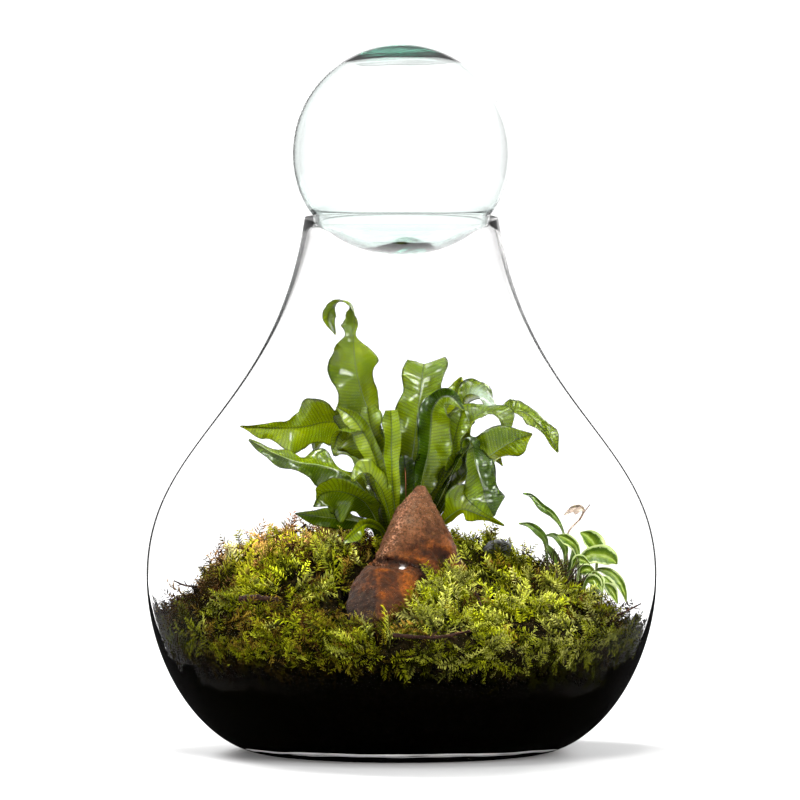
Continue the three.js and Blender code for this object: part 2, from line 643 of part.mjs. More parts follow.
const TWIGS = {
  twig_left_top: { points: [[-72, -6, 125], [-64, -12, 128], [-56, -16, 134]], radius: 0.9 },
  twig_left_edge: { points: [[-120, -12, 97], [-126, -16, 98], [-133, -20, 101]], radius: 0.8 },
  twig_front: { points: [[-5, -133, 75.5], [18, -136, 74.5], [38, -131, 77.5]], radius: 1.2 },
  twig_slope: { points: [[40, -88, 99.5], [43, -97, 95.5], [45, -106, 89]], radius: 0.9 },
  twig_right: { points: [[121, -40, 79.5], [131, -41, 84], [138.5, -39, 88.5]], radius: 0.8 },
  bark: { points: [[-92, -74, 93], [-82, -80, 93.5], [-70, -84, 93]], radius: 2.4 },
};

// Materials

const finish = (color, roughness, extra = {}) =>
  new THREE.MeshStandardMaterial({ color, roughness, metalness: 0, ...extra });
const GLASS = finish(0xdfeee9, 0.03, { transparent: true, opacity: 0.3 });
const SOIL = finish(0x14100d, 0.95);
const MOSS = finish(0x6f8a1e, 0.9);
const ROCK = finish(0x8a4b2c, 0.85);
const FERN = finish(0x4f8a12, 0.35);
const STONE_GREY = finish(0x35383a, 0.8);
const ROOT = finish(0x2a1f14, 0.95);
const SLENDER = finish(0x4d7a1c, 0.45);
const STRIPED = finish(0xa8c070, 0.4);
const DRY = finish(0xc9a48a, 0.8);
const TWIG = finish(0x2b1b14, 0.9);

// Assembly

const terrarium = new THREE.Group();

function place(name, made, material) {
  const mesh = new THREE.Mesh(geometryOf(made), material);
  mesh.name = name;
  terrarium.add(mesh);
}

const CUSHIONS = {
  moss_right: [-32, 33],
  moss_back_right: [33, 88],
  moss_back_left: [88, 143],
  moss_left: [143, 203],
  moss_front_left: [203, 263],
  moss_front_right: [263, 328],
};

const join = (solids) => solids.reduce((a, b) => a.add(b));
const smallLeaves = Object.entries(SMALL_LEAVES).map(([name, stations]) => [
  name,
  { ...SMALL_BEND, stations },
]);
const rockRoom = rock(STONE_ROOM);
const frondHoles = join(Object.values(FRONDS).map((spec) => stalkHole(spec, FROND_STALK_R)));
const leafHoles = join(smallLeaves.map(([, spec]) => stalkHole(spec, LEAF_STALK_R)));
const twigHoles = join(Object.values(TWIGS).map((t) => tube(t.points, t.radius + 1.5 * GAP, 6)));
const groundRooms = join([rockRoom, stone(STONE_ROOM), frondHoles, leafHoles, twigHoles]);

place("jar", jar(), GLASS);
place("ball_lid", ball(), GLASS);
place("soil", largest(soil().subtract(rockRoom)), SOIL);
for (const [name, [a0, a1]] of Object.entries(CUSHIONS)) {
  place(name, largest(mossCushion(a0, a1).subtract(groundRooms)), MOSS);
}
place("rock", rock(), ROCK);
place("stone", stone(), STONE_GREY);
place("root_ball", largest(rootBall().subtract(frondHoles)), ROOT);
for (const [name, spec] of Object.entries(FRONDS)) {
  place("frond_" + name, blade(spec, 2, [1, 0.55, 0, -0.55, -1], 1.8), FERN);
}
for (const [name, spec] of smallLeaves) {
  const material = name.startsWith("dry") ? DRY : name.startsWith("striped") ? STRIPED : SLENDER;
  place("leaf_" + name, blade(spec, 2, [1, 0, -1], 1), material);
}
for (const [name, { points, radius }] of Object.entries(TWIGS)) {
  place(name, tube(points, radius, 5, 6), TWIG);
}

export default terrarium;
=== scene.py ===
"""The looks of a closed glass terrarium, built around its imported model.

Lengths here are millimetres in the model's own frame, and MM turns them into metres where a mesh is
made. The formulas of the glass, the ground and the leaves are the model's own, drawn finer.
"""

import math

import bpy
import numpy as np
from mathutils import Matrix, Vector, noise


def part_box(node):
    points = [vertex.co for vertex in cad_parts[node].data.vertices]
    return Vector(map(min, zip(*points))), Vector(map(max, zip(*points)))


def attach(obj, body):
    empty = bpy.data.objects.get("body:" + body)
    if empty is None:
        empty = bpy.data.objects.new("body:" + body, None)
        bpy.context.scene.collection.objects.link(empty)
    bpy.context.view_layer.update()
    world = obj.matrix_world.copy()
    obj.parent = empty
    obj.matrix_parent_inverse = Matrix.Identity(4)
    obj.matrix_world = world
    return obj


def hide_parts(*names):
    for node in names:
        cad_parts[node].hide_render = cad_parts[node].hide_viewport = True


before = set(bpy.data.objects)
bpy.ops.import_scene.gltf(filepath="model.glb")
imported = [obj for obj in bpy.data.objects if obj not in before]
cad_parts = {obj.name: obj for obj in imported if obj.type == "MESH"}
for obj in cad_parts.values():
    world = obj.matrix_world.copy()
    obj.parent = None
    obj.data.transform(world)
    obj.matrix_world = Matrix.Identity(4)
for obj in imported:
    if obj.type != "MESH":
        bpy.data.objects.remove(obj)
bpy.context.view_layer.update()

MM = 0.001
TAU = 2 * math.pi

# The model's driving dimensions
FOOT_R = 80
BELLY_R = 150
BELLY_Z = 104
RIM_R = 57.2
RIM_Z = 315
WALL_BELLY = 1.6
WALL_RIM = 5
BASE_GLASS = 7
PUNT = 1.5
FOOT_RING_W = 9
BALL_R = 64.2
BALL_TOP = 64.5
BALL_DROP = 59
BED_R = 148
SOIL_EDGE = 50
SOIL_RISE = 40
MOSS_T = 15
MOSS_IN_R = 16.5

# Finer sizes that only the looks need
SKIN_RISE = 13  # how far the skin of wet soil climbs the glass at the jar's sides
SOIL_BITE = 0.2  # the wet soil clings to the glass, so its skin lies just inside it
SOIL_SIDES = 260
CRUMBS = 2200  # bits of soil on the glass
GLASS_SIDES = 112
RIM_BEVEL = 0.9
RIM_GROUND = 2.2  # height of the ground band under the rim's top
BLADE_T = 0.34  # thickness of a frond's blade
FOLD = 2.4  # how much deeper the fronds fold and ripple than the model's plain blades
RIPPLE = 1.5
ROW_STEP = 1.15  # length of a frond between two rows of its mesh
VEIN_STEP = 1.9  # distance between a frond's side veins
NECK_GLASS = 2.9  # the wall at the top of the neck, under the thicker bead of the rim
BEAD = 3.5
BALL_HEEL = 2.6  # how much thicker the ball's lower half grows towards its pole
SKIN_GLASS = 0.8  # the ball's wall at its widest line
BALL_UNEVEN = 0.22  # the ball's wall is thicker on its left by this much
TOP_LENS = 55.0  # heights of the flat inner faces of the ball's two thick poles, from its widest line
LOW_LENS = -53.8
LENS_ROUND = 1.6  # how softly those faces meet the ball's inside

rng = np.random.default_rng(11)


# Meshes

def new_mesh(name, points, faces):
    """A mesh of points in millimetres; faces is a list of integer arrays, each (n, 3) or (n, 4)."""
    mesh = bpy.data.meshes.new(name)
    points = np.asarray(points, float).reshape(-1, 3)
    mesh.vertices.add(len(points))
    mesh.vertices.foreach_set("co", (points * MM).astype(np.float32).ravel())
    faces = [np.asarray(f, np.int32) for f in faces if len(f)]
    corners = np.concatenate([f.ravel() for f in faces])
    sizes = np.concatenate([np.full(len(f), f.shape[1]) for f in faces])
    mesh.loops.add(len(corners))
    mesh.loops.foreach_set("vertex_index", corners)
    mesh.polygons.add(len(sizes))
    starts = np.concatenate([[0], np.cumsum(sizes)[:-1]]).astype(np.int32)
    mesh.polygons.foreach_set("loop_start", starts)
    mesh.update(calc_edges=True)
    return mesh


def give_values(mesh, **values):
    """Per-vertex numbers that a material reads by name."""
    for name, value in values.items():
        layer = mesh.attributes.new(name, "FLOAT", "POINT")
        layer.data.foreach_set("value", np.asarray(value, np.float32).ravel())


def piece(name, form, materials, nodes=(), smooth=True, crease=None, kinds=None):
    """A piece of the object, riding on the one body and standing for the named nodes.

    form is a mesh or Parts. kinds says which of the materials each face has, where a mesh has several.
    """
    mesh = form
    if isinstance(form, Parts):
        mesh = form.mesh(name)
        kinds = np.concatenate(form.kinds)
    for m in materials:
        mesh.materials.append(m)
    mesh.polygons.foreach_set("use_smooth", np.full(len(mesh.polygons), smooth))
    if kinds is not None:
        mesh.polygons.foreach_set("material_index", np.asarray(kinds, np.int32))
    if crease is not None:
        mesh.set_sharp_from_angle(angle=math.radians(crease))
    mesh.update()
    made = bpy.data.objects.new(name, mesh)
    bpy.context.scene.collection.objects.link(made)
    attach(made, "root")
    if nodes:
        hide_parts(*nodes)


def clamp(value):
    return np.clip(value, 0, 1)


def together(*columns):
    return np.stack(columns, axis=-1)


def around(r, angle, z):
    """Points at radius r and height z, by angle round the jar's axis."""
    return together(r * np.cos(angle), r * np.sin(angle), z)


def grid_faces(rows, columns, wrap=False):
    """Quads over a grid of points laid out row by row; wrap joins the last column to the first."""
    i = np.arange(rows - 1)[:, None]
    j = np.arange(columns if wrap else columns - 1)[None, :]
    after = (j + 1) % columns
    a = i * columns + j
    b = i * columns + after
    return together(a, b, b + columns, a + columns).reshape(-1, 4)


def closed_faces(rows, columns):
    """Quads of a wrapped grid, and the triangles of its two ends.

    The two points that follow the grid are the middles of its first and its last row.
    """
    j = np.arange(columns)
    after = (j + 1) % columns
    last = (rows - 1) * columns
    middle = np.full(columns, rows * columns)
    fans = np.concatenate([together(middle, after, j), together(middle + 1, last + j, last + after)])
    return [grid_faces(rows, columns, wrap=True), fans]


def lathe(profile, sides):
    """Points and faces of a profile turned about +Z. It starts and ends on the axis."""
    profile = np.asarray(profile, float)
    ring = profile[1:-1]
    angle = np.arange(sides) / sides * TAU
    points = around(ring[:, :1], angle[None], np.repeat(ring[:, 1:], sides, axis=1)).reshape(-1, 3)
    return np.vstack([points, [0, 0, profile[0, 1]], [0, 0, profile[-1, 1]]]), closed_faces(len(ring), sides)


def bezier(p0, p1, p2, p3, count):
    t = np.linspace(0, 1, count + 1)[:, None]
    p0, p1, p2, p3 = (np.asarray(p, float) for p in (p0, p1, p2, p3))
    return p0 * (1 - t) ** 3 + p1 * 3 * t * (1 - t) ** 2 + p2 * 3 * t ** 2 * (1 - t) + p3 * t ** 3


class Spline:
    """The centripetal Catmull-Rom curve that the model's leaves and twigs follow."""

    def __init__(self, points):
        points = np.asarray(points, float)
        before = 2 * points[0] - points[1]
        after = 2 * points[-1] - points[-2]
        self.points = np.vstack([before, points, after])
        self.spans = len(points) - 1

    def at(self, t):
        t = clamp(np.atleast_1d(np.asarray(t, float))) * self.spans
        span = np.minimum(np.floor(t).astype(int), self.spans - 1)
        u = (t - span)[:, None]
        p0, p1, p2, p3 = (self.points[span + k] for k in range(4))
        d0, d1, d2 = (
            np.sqrt(np.linalg.norm(b - a, axis=1))[:, None] for a, b in ((p0, p1), (p1, p2), (p2, p3))
        )
        d1 = np.where(d1 < 1e-4, 1, d1)
        d0 = np.where(d0 < 1e-4, d1, d0)
        d2 = np.where(d2 < 1e-4, d1, d2)
        m1 = ((p1 - p0) / d0 - (p2 - p0) / (d0 + d1) + (p2 - p1) / d1) * d1
        m2 = ((p2 - p1) / d1 - (p3 - p1) / (d1 + d2) + (p3 - p2) / d2) * d1
        c2 = -3 * p1 + 3 * p2 - 2 * m1 - m2
        c3 = 2 * p1 - 2 * p2 + m1 + m2
        return p1 + m1 * u + c2 * u ** 2 + c3 * u ** 3

    def tangent(self, t):
        d = 1e-4
        step = self.at(np.minimum(np.asarray(t) + d, 1)) - self.at(np.maximum(np.asarray(t) - d, 0))
        return unit(step)


def unit(v):
    return v / np.maximum(np.linalg.norm(v, axis=-1, keepdims=True), 1e-9)


def lumps(points, size, depth=3, shift=0.0):
    """Smooth noise, about -1 to 1, at points in millimetres; size is that of its largest lumps."""
    place = np.asarray(points, float) / size + shift
    return np.array([noise.fractal(Vector(p), 1.0, 2.0, depth) for p in place])


def tube_mesh(path, radii, sides):
    """Points and faces of a closed round tube along a path."""
    path = np.asarray(path, float)
    radii = np.broadcast_to(radii, len(path))
    ahead = unit(np.gradient(path, axis=0))
    side = unit(np.cross(ahead[0], [0.0, 0.0, 1.0] if abs(ahead[0, 2]) < 0.9 else [1.0, 0.0, 0.0]))
    sides_at = []
    for a in ahead:
        side = unit(side - a * np.dot(side, a))
        sides_at.append(side)
    side = np.array(sides_at)
    up = np.cross(ahead, side)
    angle = (np.arange(sides) / sides * TAU)[None, :, None]
    ring = np.cos(angle) * side[:, None] + np.sin(angle) * up[:, None]
    points = (path[:, None] + radii[:, None, None] * ring).reshape(-1, 3)
    return np.vstack([points, path[0], path[-1]]), closed_faces(len(path), sides)


def copies(faces, count, size):
    """The faces of count copies of a form that has size points."""
    return (faces[None] + np.arange(count)[:, None, None] * size).reshape(-1, faces.shape[1])


class Parts:
    """Gathers points, faces, values and materials of several forms into one mesh."""

    def __init__(self):
        self.points, self.faces, self.values, self.kinds = [], [], {}, []
        self.count = 0

    def add(self, points, faces, kind=0, **values):
        points = np.asarray(points, float)
        for name in {**self.values, **values}:
            given = values.get(name, 0.0)
            past = self.values.setdefault(name, [np.zeros(self.count)])
            past.append(np.broadcast_to(np.asarray(given, float), len(points)))
        self.points.append(points)
        for f in faces:
            self.faces.append(np.asarray(f) + self.count)
            self.kinds.append(np.full(len(f), kind))
        self.count += len(points)

    def take(self, others):
        """Adds all that another set of parts holds; both must have the same names of values."""
        for name in self.values:
            self.values[name] += others.values[name]
        self.faces += [f + self.count for f in others.faces]
        self.points += others.points
        self.kinds += others.kinds
        self.count += others.count

    def mesh(self, name):
        made = new_mesh(name, np.concatenate(self.points), self.faces)
        give_values(made, **{k: np.concatenate(v) for k, v in self.values.items()})
        return made

    def all_of(self, name):
        return np.concatenate(self.values[name])


# Shader nodes

def node(tree, kind, inputs=None, **settings):
    made = tree.nodes.new("ShaderNode" + kind)
    for key, value in settings.items():
        setattr(made, key, value)
    for key, value in (inputs or {}).items():
        if isinstance(value, bpy.types.NodeSocket):
            tree.links.new(value, made.inputs[key])
        else:
            made.inputs[key].default_value = value
    return made


def shader(name):
    made = bpy.data.materials.new(name)
    made.use_nodes = True
    made.node_tree.nodes.clear()
    return made, made.node_tree


def finish_shader(tree, surface, volume=None):
    out = node(tree, "OutputMaterial", {"Surface": surface})
    if volume:
        tree.links.new(volume, out.inputs["Volume"])


def math_node(tree, operation, *values):
    return node(tree, "Math", dict(enumerate(values)), operation=operation).outputs[0]


def times(tree, a, b):
    return math_node(tree, "MULTIPLY", a, b)


def blend_colour(tree, share, a, b, blend_type="MIX"):
    made = node(tree, "Mix", {0: share, 6: a, 7: b}, data_type="RGBA", blend_type=blend_type)
    return made.outputs[2]


def multiplied(tree, colour, other, share=1.0):
    """One colour multiplied by another."""
    return blend_colour(tree, share, colour, other, "MULTIPLY")


def fine_noise(tree, size, detail=3.0, roughness=0.55):
    """Noise whose lumps are about size millimetres across, 0 to 1."""
    vector = node(tree, "TexCoord").outputs["Object"]
    inputs = {"Vector": vector, "Scale": 1000 / size, "Detail": detail, "Roughness": roughness}
    return node(tree, "TexNoise", inputs).outputs["Fac"]


def linear(red, green, blue):
    """A colour on the screen's 0 to 255 scale, as the linear values that shaders take."""
    return tuple(
        c / 12.92 if c <= 0.04045 else ((c + 0.055) / 1.055) ** 2.4
        for c in (red / 255, green / 255, blue / 255)
    ) + (1.0,)


def grey(value):
    return (value, value, value, 1.0)


def ramp(tree, factor, *stops):
    """Each stop has its place and a grey, a colour on the 0 to 255 scale, or four linear values."""
    made = node(tree, "ValToRGB", {"Fac": factor})
    elements = made.color_ramp.elements
    while len(elements) < len(stops):
        elements.new(0.5)
    for element, (at, colour) in zip(elements, stops):
        if isinstance(colour, (int, float)):
            colour = grey(colour)
        element.position = at
        element.color = linear(*colour) if len(colour) == 3 else colour
    return made.outputs["Color"]


def value_of(tree, name):
    return node(tree, "Attribute", attribute_name=name).outputs["Fac"]


def bump(tree, height, depth):
    return node(tree, "Bump", {"Height": height, "Distance": depth * MM}).outputs["Normal"]


def finish_plain(tree, colour, roughness, specular=0.5, normal=None, through=0.0, glow=None, ior=1.5):
    """Ends a shader in a plain surface.

    through is the share of it that lets light through, in the colour glow or else its own.
    """
    inputs = {"Base Color": colour, "Roughness": roughness, "Specular IOR Level": specular, "IOR": ior}
    if normal:
        inputs["Normal"] = normal
    face = node(tree, "BsdfPrincipled", inputs).outputs[0]
    if through:
        light = node(tree, "BsdfTranslucent", {"Color": glow or colour})
        face = node(tree, "MixShader", {0: through, 1: face, 2: light.outputs[0]}).outputs[0]
    finish_shader(tree, face)


GLASS_IOR = 1.47
GLASS_SHINE = 0.15  # tint of the glass's mirror reflections
GLASS_CLEAR = 0.97  # the share of unbent light that each face lets through
BALL_MATT = 0.06  # the value "matt" all over the ball


def glass(name, absorb, density, roughness=0.0, sheer=0.0):
    """Clear glass, tinted where it is thick. Its value "matt" is the share of reflections it lacks.

    sheer is the share of light that passes it unbent.
    """
    made, tree = shader(name)
    shared = {"Roughness": roughness, "IOR": GLASS_IOR}
    body = node(tree, "BsdfPrincipled", {
        **shared, "Base Color": grey(1.0), "Transmission Weight": 1.0, "Specular Tint": grey(GLASS_SHINE),
    })
    bent = node(tree, "BsdfRefraction", {**shared, "Color": grey(1.0)})
    clear = node(tree, "MixShader", {0: value_of(tree, "matt"), 1: body.outputs[0], 2: bent.outputs[0]})
    through = node(tree, "BsdfTransparent", {"Color": grey(GLASS_CLEAR)})
    unbent = node(tree, "LightPath").outputs["Is Shadow Ray"]
    if sheer:
        unbent = math_node(tree, "MAXIMUM", unbent, sheer)
    mixed = node(tree, "MixShader", {0: unbent, 1: clear.outputs[0], 2: through.outputs[0]})
    tint = node(tree, "VolumeAbsorption", {"Color": absorb, "Density": density})
    finish_shader(tree, mixed.outputs[0], tint.outputs[0])
    return made


# The jar and the ball, turned from the model's own curves

def bowl_curve(inset, floor, count):
    return bezier(
        (FOOT_R - inset * 2, floor), (114 - inset * 2, floor),
        (BELLY_R - inset, 48 + floor * 0.3), (BELLY_R - inset, BELLY_Z), count,
    )


def neck_curve(inset, rim_inset, count):
    return bezier(
        (BELLY_R - inset, BELLY_Z), (BELLY_R - inset, BELLY_Z + 80),
        (72.5 - (inset + rim_inset) / 3, 200), (RIM_R - rim_inset, RIM_Z), count,
    )


THIN_GLASS = 0.7  # how much thinner the blown belly is than its solid, so that its dark line is fine
THIN_HEIGHTS = ([64, 92, 230, 300], [0, 1, 1, 0])  # heights, and the share of that thinning there
MATT_HEIGHTS = ([BELLY_Z, 200, 240, 300], [0.93, 0.93, 0.75, 0.05])  # and the value "matt" there
GROUND_HALF = 0.88 * RIM_R  # the rim's ground band ends this far to the left and right
BOWL_STEPS = 32
NECK_STEPS = 62
jar_outer = np.vstack([bowl_curve(0, 0, BOWL_STEPS), neck_curve(0, 0, NECK_STEPS)[1:]])
jar_inner = np.vstack([
    bowl_curve(WALL_BELLY, BASE_GLASS, BOWL_STEPS), neck_curve(WALL_BELLY, NECK_GLASS, NECK_STEPS)[1:],
])


def inside_radius(z):
    """Radius of the jar's inside at height z."""
    return np.interp(z, jar_inner[:, 1], jar_inner[:, 0])


def make_jar(materials):
    b = RIM_BEVEL
    corner = np.linspace(0, math.pi / 2, 5)[1:-1]
    outer_corner = together(RIM_R - b + b * np.cos(corner), RIM_Z - b + b * np.sin(corner))
    inner_corner = together(RIM_R - WALL_RIM + b - b * np.sin(corner), RIM_Z - b + b * np.cos(corner))
    outer = jar_outer.copy()
    outer[-1] = [RIM_R, RIM_Z - b]
    inner = jar_inner.copy()
    inner[:, 0] += THIN_GLASS * np.interp(inner[:, 1], *THIN_HEIGHTS)
    bead = clamp((inner[:, 1] - (RIM_Z - BEAD)) / BEAD)
    inner[:, 0] -= (WALL_RIM - NECK_GLASS) * bead ** 2
    inner[-1] = [RIM_R - WALL_RIM, RIM_Z - b]
    ring_in = FOOT_R - FOOT_RING_W
    foot = bezier((ring_in - 8, PUNT), (ring_in - 4, PUNT), (ring_in - 3, 0), (ring_in, 0), 6)
    profile = np.vstack([
        [[0, PUNT]], foot, outer, outer_corner, [[RIM_R - b, RIM_Z], [RIM_R - WALL_RIM + b, RIM_Z]],
        inner_corner, inner[::-1], [[0, BASE_GLASS]],
    ])
    points, (quads, fans) = lathe(profile, GLASS_SIDES)
    mesh = new_mesh("glass_jar", points, [quads, fans])
    give_values(mesh, matt=np.interp(points[:, 2], *MATT_HEIGHTS))
    ground = points[quads, 2].min(axis=1) > RIM_Z - RIM_GROUND
    ground &= np.abs(points[quads, 0]).max(axis=1) < GROUND_HALF
    kinds = np.concatenate([ground.astype(int), np.zeros(len(fans), int)])
    piece("glass_jar", mesh, materials, ["jar"], crease=50, kinds=kinds)


def ball_line(drop, top, r, count):
    lower = bezier((0, -drop), (r * 0.6, -drop), (r, -drop * 0.6), (r, 0), count)
    angle = np.linspace(0, math.pi / 2, count + 1)[1:]
    return np.vstack([lower, together(r * np.cos(angle), top * np.sin(angle))])


def soft_least(a, b):
    """The lesser of two heights, rounded over where they meet."""
    near = clamp(0.5 + 0.5 * (b - a) / LENS_ROUND)
    return b + (a - b) * near - LENS_ROUND * near * (1 - near)


def ball_height():
    """Height of the ball's widest line: it rests on the inner edge of the rim."""
    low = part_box("ball_lid")[0].z / MM
    return low + BALL_DROP


def make_ball(material):
    outer = ball_line(BALL_DROP, BALL_TOP, BALL_R, 32)
    inner = ball_line(BALL_DROP - SKIN_GLASS - BALL_HEEL, BALL_TOP - SKIN_GLASS, BALL_R - SKIN_GLASS, 48)
    parts = Parts()
    parts.add(*lathe(outer, GLASS_SIDES))
    points, faces = lathe(inner[::-1], GLASS_SIDES)
    points[:, 0] += BALL_UNEVEN
    x, y, z = points.T
    ceiling = TOP_LENS + 0.5 * np.sin(x * 0.08 + 0.5) + 0.3 * np.sin(x * 0.17 + y * 0.1)
    kick = 1.2 * np.exp(-(x * x + y * y) / 14 ** 2)
    floor = LOW_LENS + kick + 1.1 * np.sin(x * 0.16 + 0.8) + 0.6 * np.sin(x * 0.31 + y * 0.15)
    points[:, 2] = soft_least(z, ceiling)
    points[:, 2] = -soft_least(-points[:, 2], -floor)
    parts.add(points, faces)
    mesh = parts.mesh("glass_ball")
    give_values(mesh, matt=np.full(len(mesh.vertices), BALL_MATT))
    mesh.transform(Matrix.Translation(Vector((0, 0, ball_height())) * MM))
    piece("glass_ball", mesh, [material], ["ball_lid"])


# The planted ground

def bell(x, y, x0, y0, spread):
    return np.exp(-((x - x0) ** 2 + (y - y0) ** 2) / (2 * spread ** 2))


def inward(x, y):
    return 1 - (x * x + y * y) / BED_R ** 2


def soil_top(x, y):
    return SOIL_EDGE + SOIL_RISE * inward(x, y)


def moss_top(x, y):
    thickness = MOSS_T + 14 * inward(x, y) + 8 * (x / BED_R) ** 2
    mounds = (
        17 * bell(x, y, -64, 18, 44)
        + 9 * bell(x, y, -118, 5, 34)
        - 7 * bell(x, y, 126, -10, 26)
        + 8 * bell(x, y, 58, 34, 34)
        + 8 * bell(x, y, 72, -42, 30)
        - 19 * bell(x, y, -22, -84, 22)
    )
    tufts = (
        1.7 * np.sin(x * 0.31 + 1.3) * np.sin(y * 0.34 + 0.4)
        + 1.1 * np.sin(x * 0.61 + y * 0.45) * np.sin(y * 0.57 - x * 0.2 + 2)
    )
    return soil_top(x, y) + thickness + mounds + tufts


def moss_normal(x, y):
    d = 1.5
    slope_x = (moss_top(x + d, y) - moss_top(x - d, y)) / (2 * d)
    slope_y = (moss_top(x, y + d) - moss_top(x, y - d)) / (2 * d)
    return unit(together(-slope_x, -slope_y, np.ones_like(slope_x)))


def soil_line(angle):
    """Height at the glass where the soil ends and the moss starts, by angle round the jar."""
    slow = 3.2 * np.sin(3 * angle + 0.7) + 2.0 * np.sin(8 * angle + 2)
    quick = 0.9 * np.sin(47 * angle + 1) + 0.5 * np.sin(83 * angle)
    return SOIL_EDGE + slow + 1.4 * np.sin(19 * angle) + quick


def flank(angle):
    """1 at the jar's left and right, 0 at its front and back."""
    return clamp((np.abs(np.cos(angle)) - 0.78) / 0.2)


def skin_line(angle):
    """Height to which a skin of wet soil clings to the glass: higher at the jar's sides."""
    ragged = 2.4 * np.sin(31 * angle + 2) + 1.6 * np.sin(67 * angle) + 1.0 * np.sin(113 * angle + 1)
    return soil_line(angle) + (SKIN_RISE + ragged) * flank(angle)


CRUMB_POINTS = np.array([[1, 0, 0], [0, 1, 0], [-1, 0, 0], [0, -1, 0], [0, 0, 1], [0, 0, -1]], float)
CRUMB_FACES = np.array([
    [0, 1, 4], [1, 2, 4], [2, 3, 4], [3, 0, 4], [1, 0, 5], [2, 1, 5], [3, 2, 5], [0, 3, 5],
])


def make_crumbs(parts):
    """Bits of wet soil that stick to the glass among the moss, above the soil's edge."""
    angle = rng.uniform(0, TAU, CRUMBS)
    z = soil_line(angle) + rng.exponential(1.0, CRUMBS) * (3.0 + 6.0 * flank(angle))
    keep = z < soil_line(angle) + 12 + 12 * flank(angle)
    angle, z = angle[keep], z[keep]
    size = rng.uniform(0.5, 1.7, len(z)) * (1 + 0.5 * flank(angle))
    shape = CRUMB_POINTS[None] * rng.uniform(0.6, 1.4, (len(z), 6, 1)) * size[:, None, None]
    spin = rng.uniform(0, TAU, len(z))
    c, s = np.cos(spin)[:, None], np.sin(spin)[:, None]
    along = shape[..., 0] * c - shape[..., 2] * s
    up = shape[..., 0] * s + shape[..., 2] * c
    middle = around(inside_radius(z) - size * 0.5, angle, z)
    out = together(np.cos(angle), np.sin(angle), 0 * z)
    side = together(-np.sin(angle), np.cos(angle), 0 * z)
    points = middle[:, None] + out[:, None] * shape[..., 1:2] * 0.7 + side[:, None] * along[..., None]
    points[..., 2] += up
    parts.add(keep_inside(points.reshape(-1, 3), -0.12), [copies(CRUMB_FACES, len(z), 6)])


def make_soil(material):
    """The soil's skin at the glass, row by row from its floor up, and then its top, inward."""
    angle = np.arange(SOIL_SIDES) / SOIL_SIDES * TAU
    floor = BASE_GLASS - SOIL_BITE
    rows = []
    for share in np.linspace(0, 1, 30):
        level = floor + share * (skin_line(angle) + 1.5 - floor)
        below = soil_line(angle) - level
        back = clamp(1 - (below - 2) / 9) ** 1.5 * (1 - clamp(flank(angle) * 2))
        rows.append(around(inside_radius(level) + SOIL_BITE - back * 0.9, angle, level))
    edge_r = np.linalg.norm(rows[-1][:, :2], axis=1)
    for share in (0.97, 0.9, 0.8, 0.68, 0.5, 0.3, 0.12):
        x, y = edge_r * share * np.cos(angle), edge_r * share * np.sin(angle)
        rows.append(together(x, y, soil_top(x, y) - 1.0))
    flat = np.concatenate(rows)
    rough = lumps(flat, 5.0, 3) * 0.9 + lumps(flat, 1.8, 2, shift=9.0) * 0.5
    inner = np.linalg.norm(flat[:, :2], axis=1) < inside_radius(flat[:, 2]) - 1.0
    flat[:, 2] += np.where(inner, rough, 0)
    middles = [[0, 0, floor], [0, 0, soil_top(0, 0) - 1.0]]
    parts = Parts()
    parts.add(np.vstack([flat, middles]), closed_faces(len(rows), SOIL_SIDES))
    make_crumbs(parts)
    piece("potting_soil", parts, [material], ["soil"])


GLINT_RINGS = [  # first and last degree round the jar, radius, height and thickness
    (196, 346, 92.0, 10.0, 1.5),
    (226, 318, 91.0, 8.6, 0.7),
    (10, 172, 92.0, 10.0, 0.7),
    (355, 364, 92.5, 10.2, 0.4),
]


def make_glint_rings(material):
    """Pale rings in the thick foot of the jar: a painted glint, standing in for light that shines through
    the glass there.
    """
    parts = Parts()
    for start, end, r, z, thick in GLINT_RINGS:
        turn = np.radians(np.linspace(start, end, int((end - start) * 1.2) + 8))
        wander = 0.35 * np.sin(turn * 9 + start) + 0.2 * np.sin(turn * 23 + r)
        ends = np.clip(np.minimum(turn - turn[0], turn[-1] - turn) / 0.15, 0.05, 1)
        radii = thick * ends * (1 + 0.35 * np.sin(turn * 17 + 1) * np.sin(turn * 5))
        parts.add(*tube_mesh(around(r + wander, turn, z + 0.4 * wander), radii, 8))
    piece("painted_base_glint", parts, [material])


# Moss: feathery shoots over a dark, bumpy bed

SHOOT_KINDS = 7
STEM_FACES = [
    [0, 1, 4], [0, 4, 3], [1, 2, 5], [1, 5, 4], [2, 0, 3], [2, 3, 5], [3, 4, 6], [4, 5, 6], [5, 3, 6],
    [0, 2, 1],
]
LEAFLET_FACES = [[0, 1, 3], [0, 3, 2], [0, 2, 1], [1, 2, 3]]


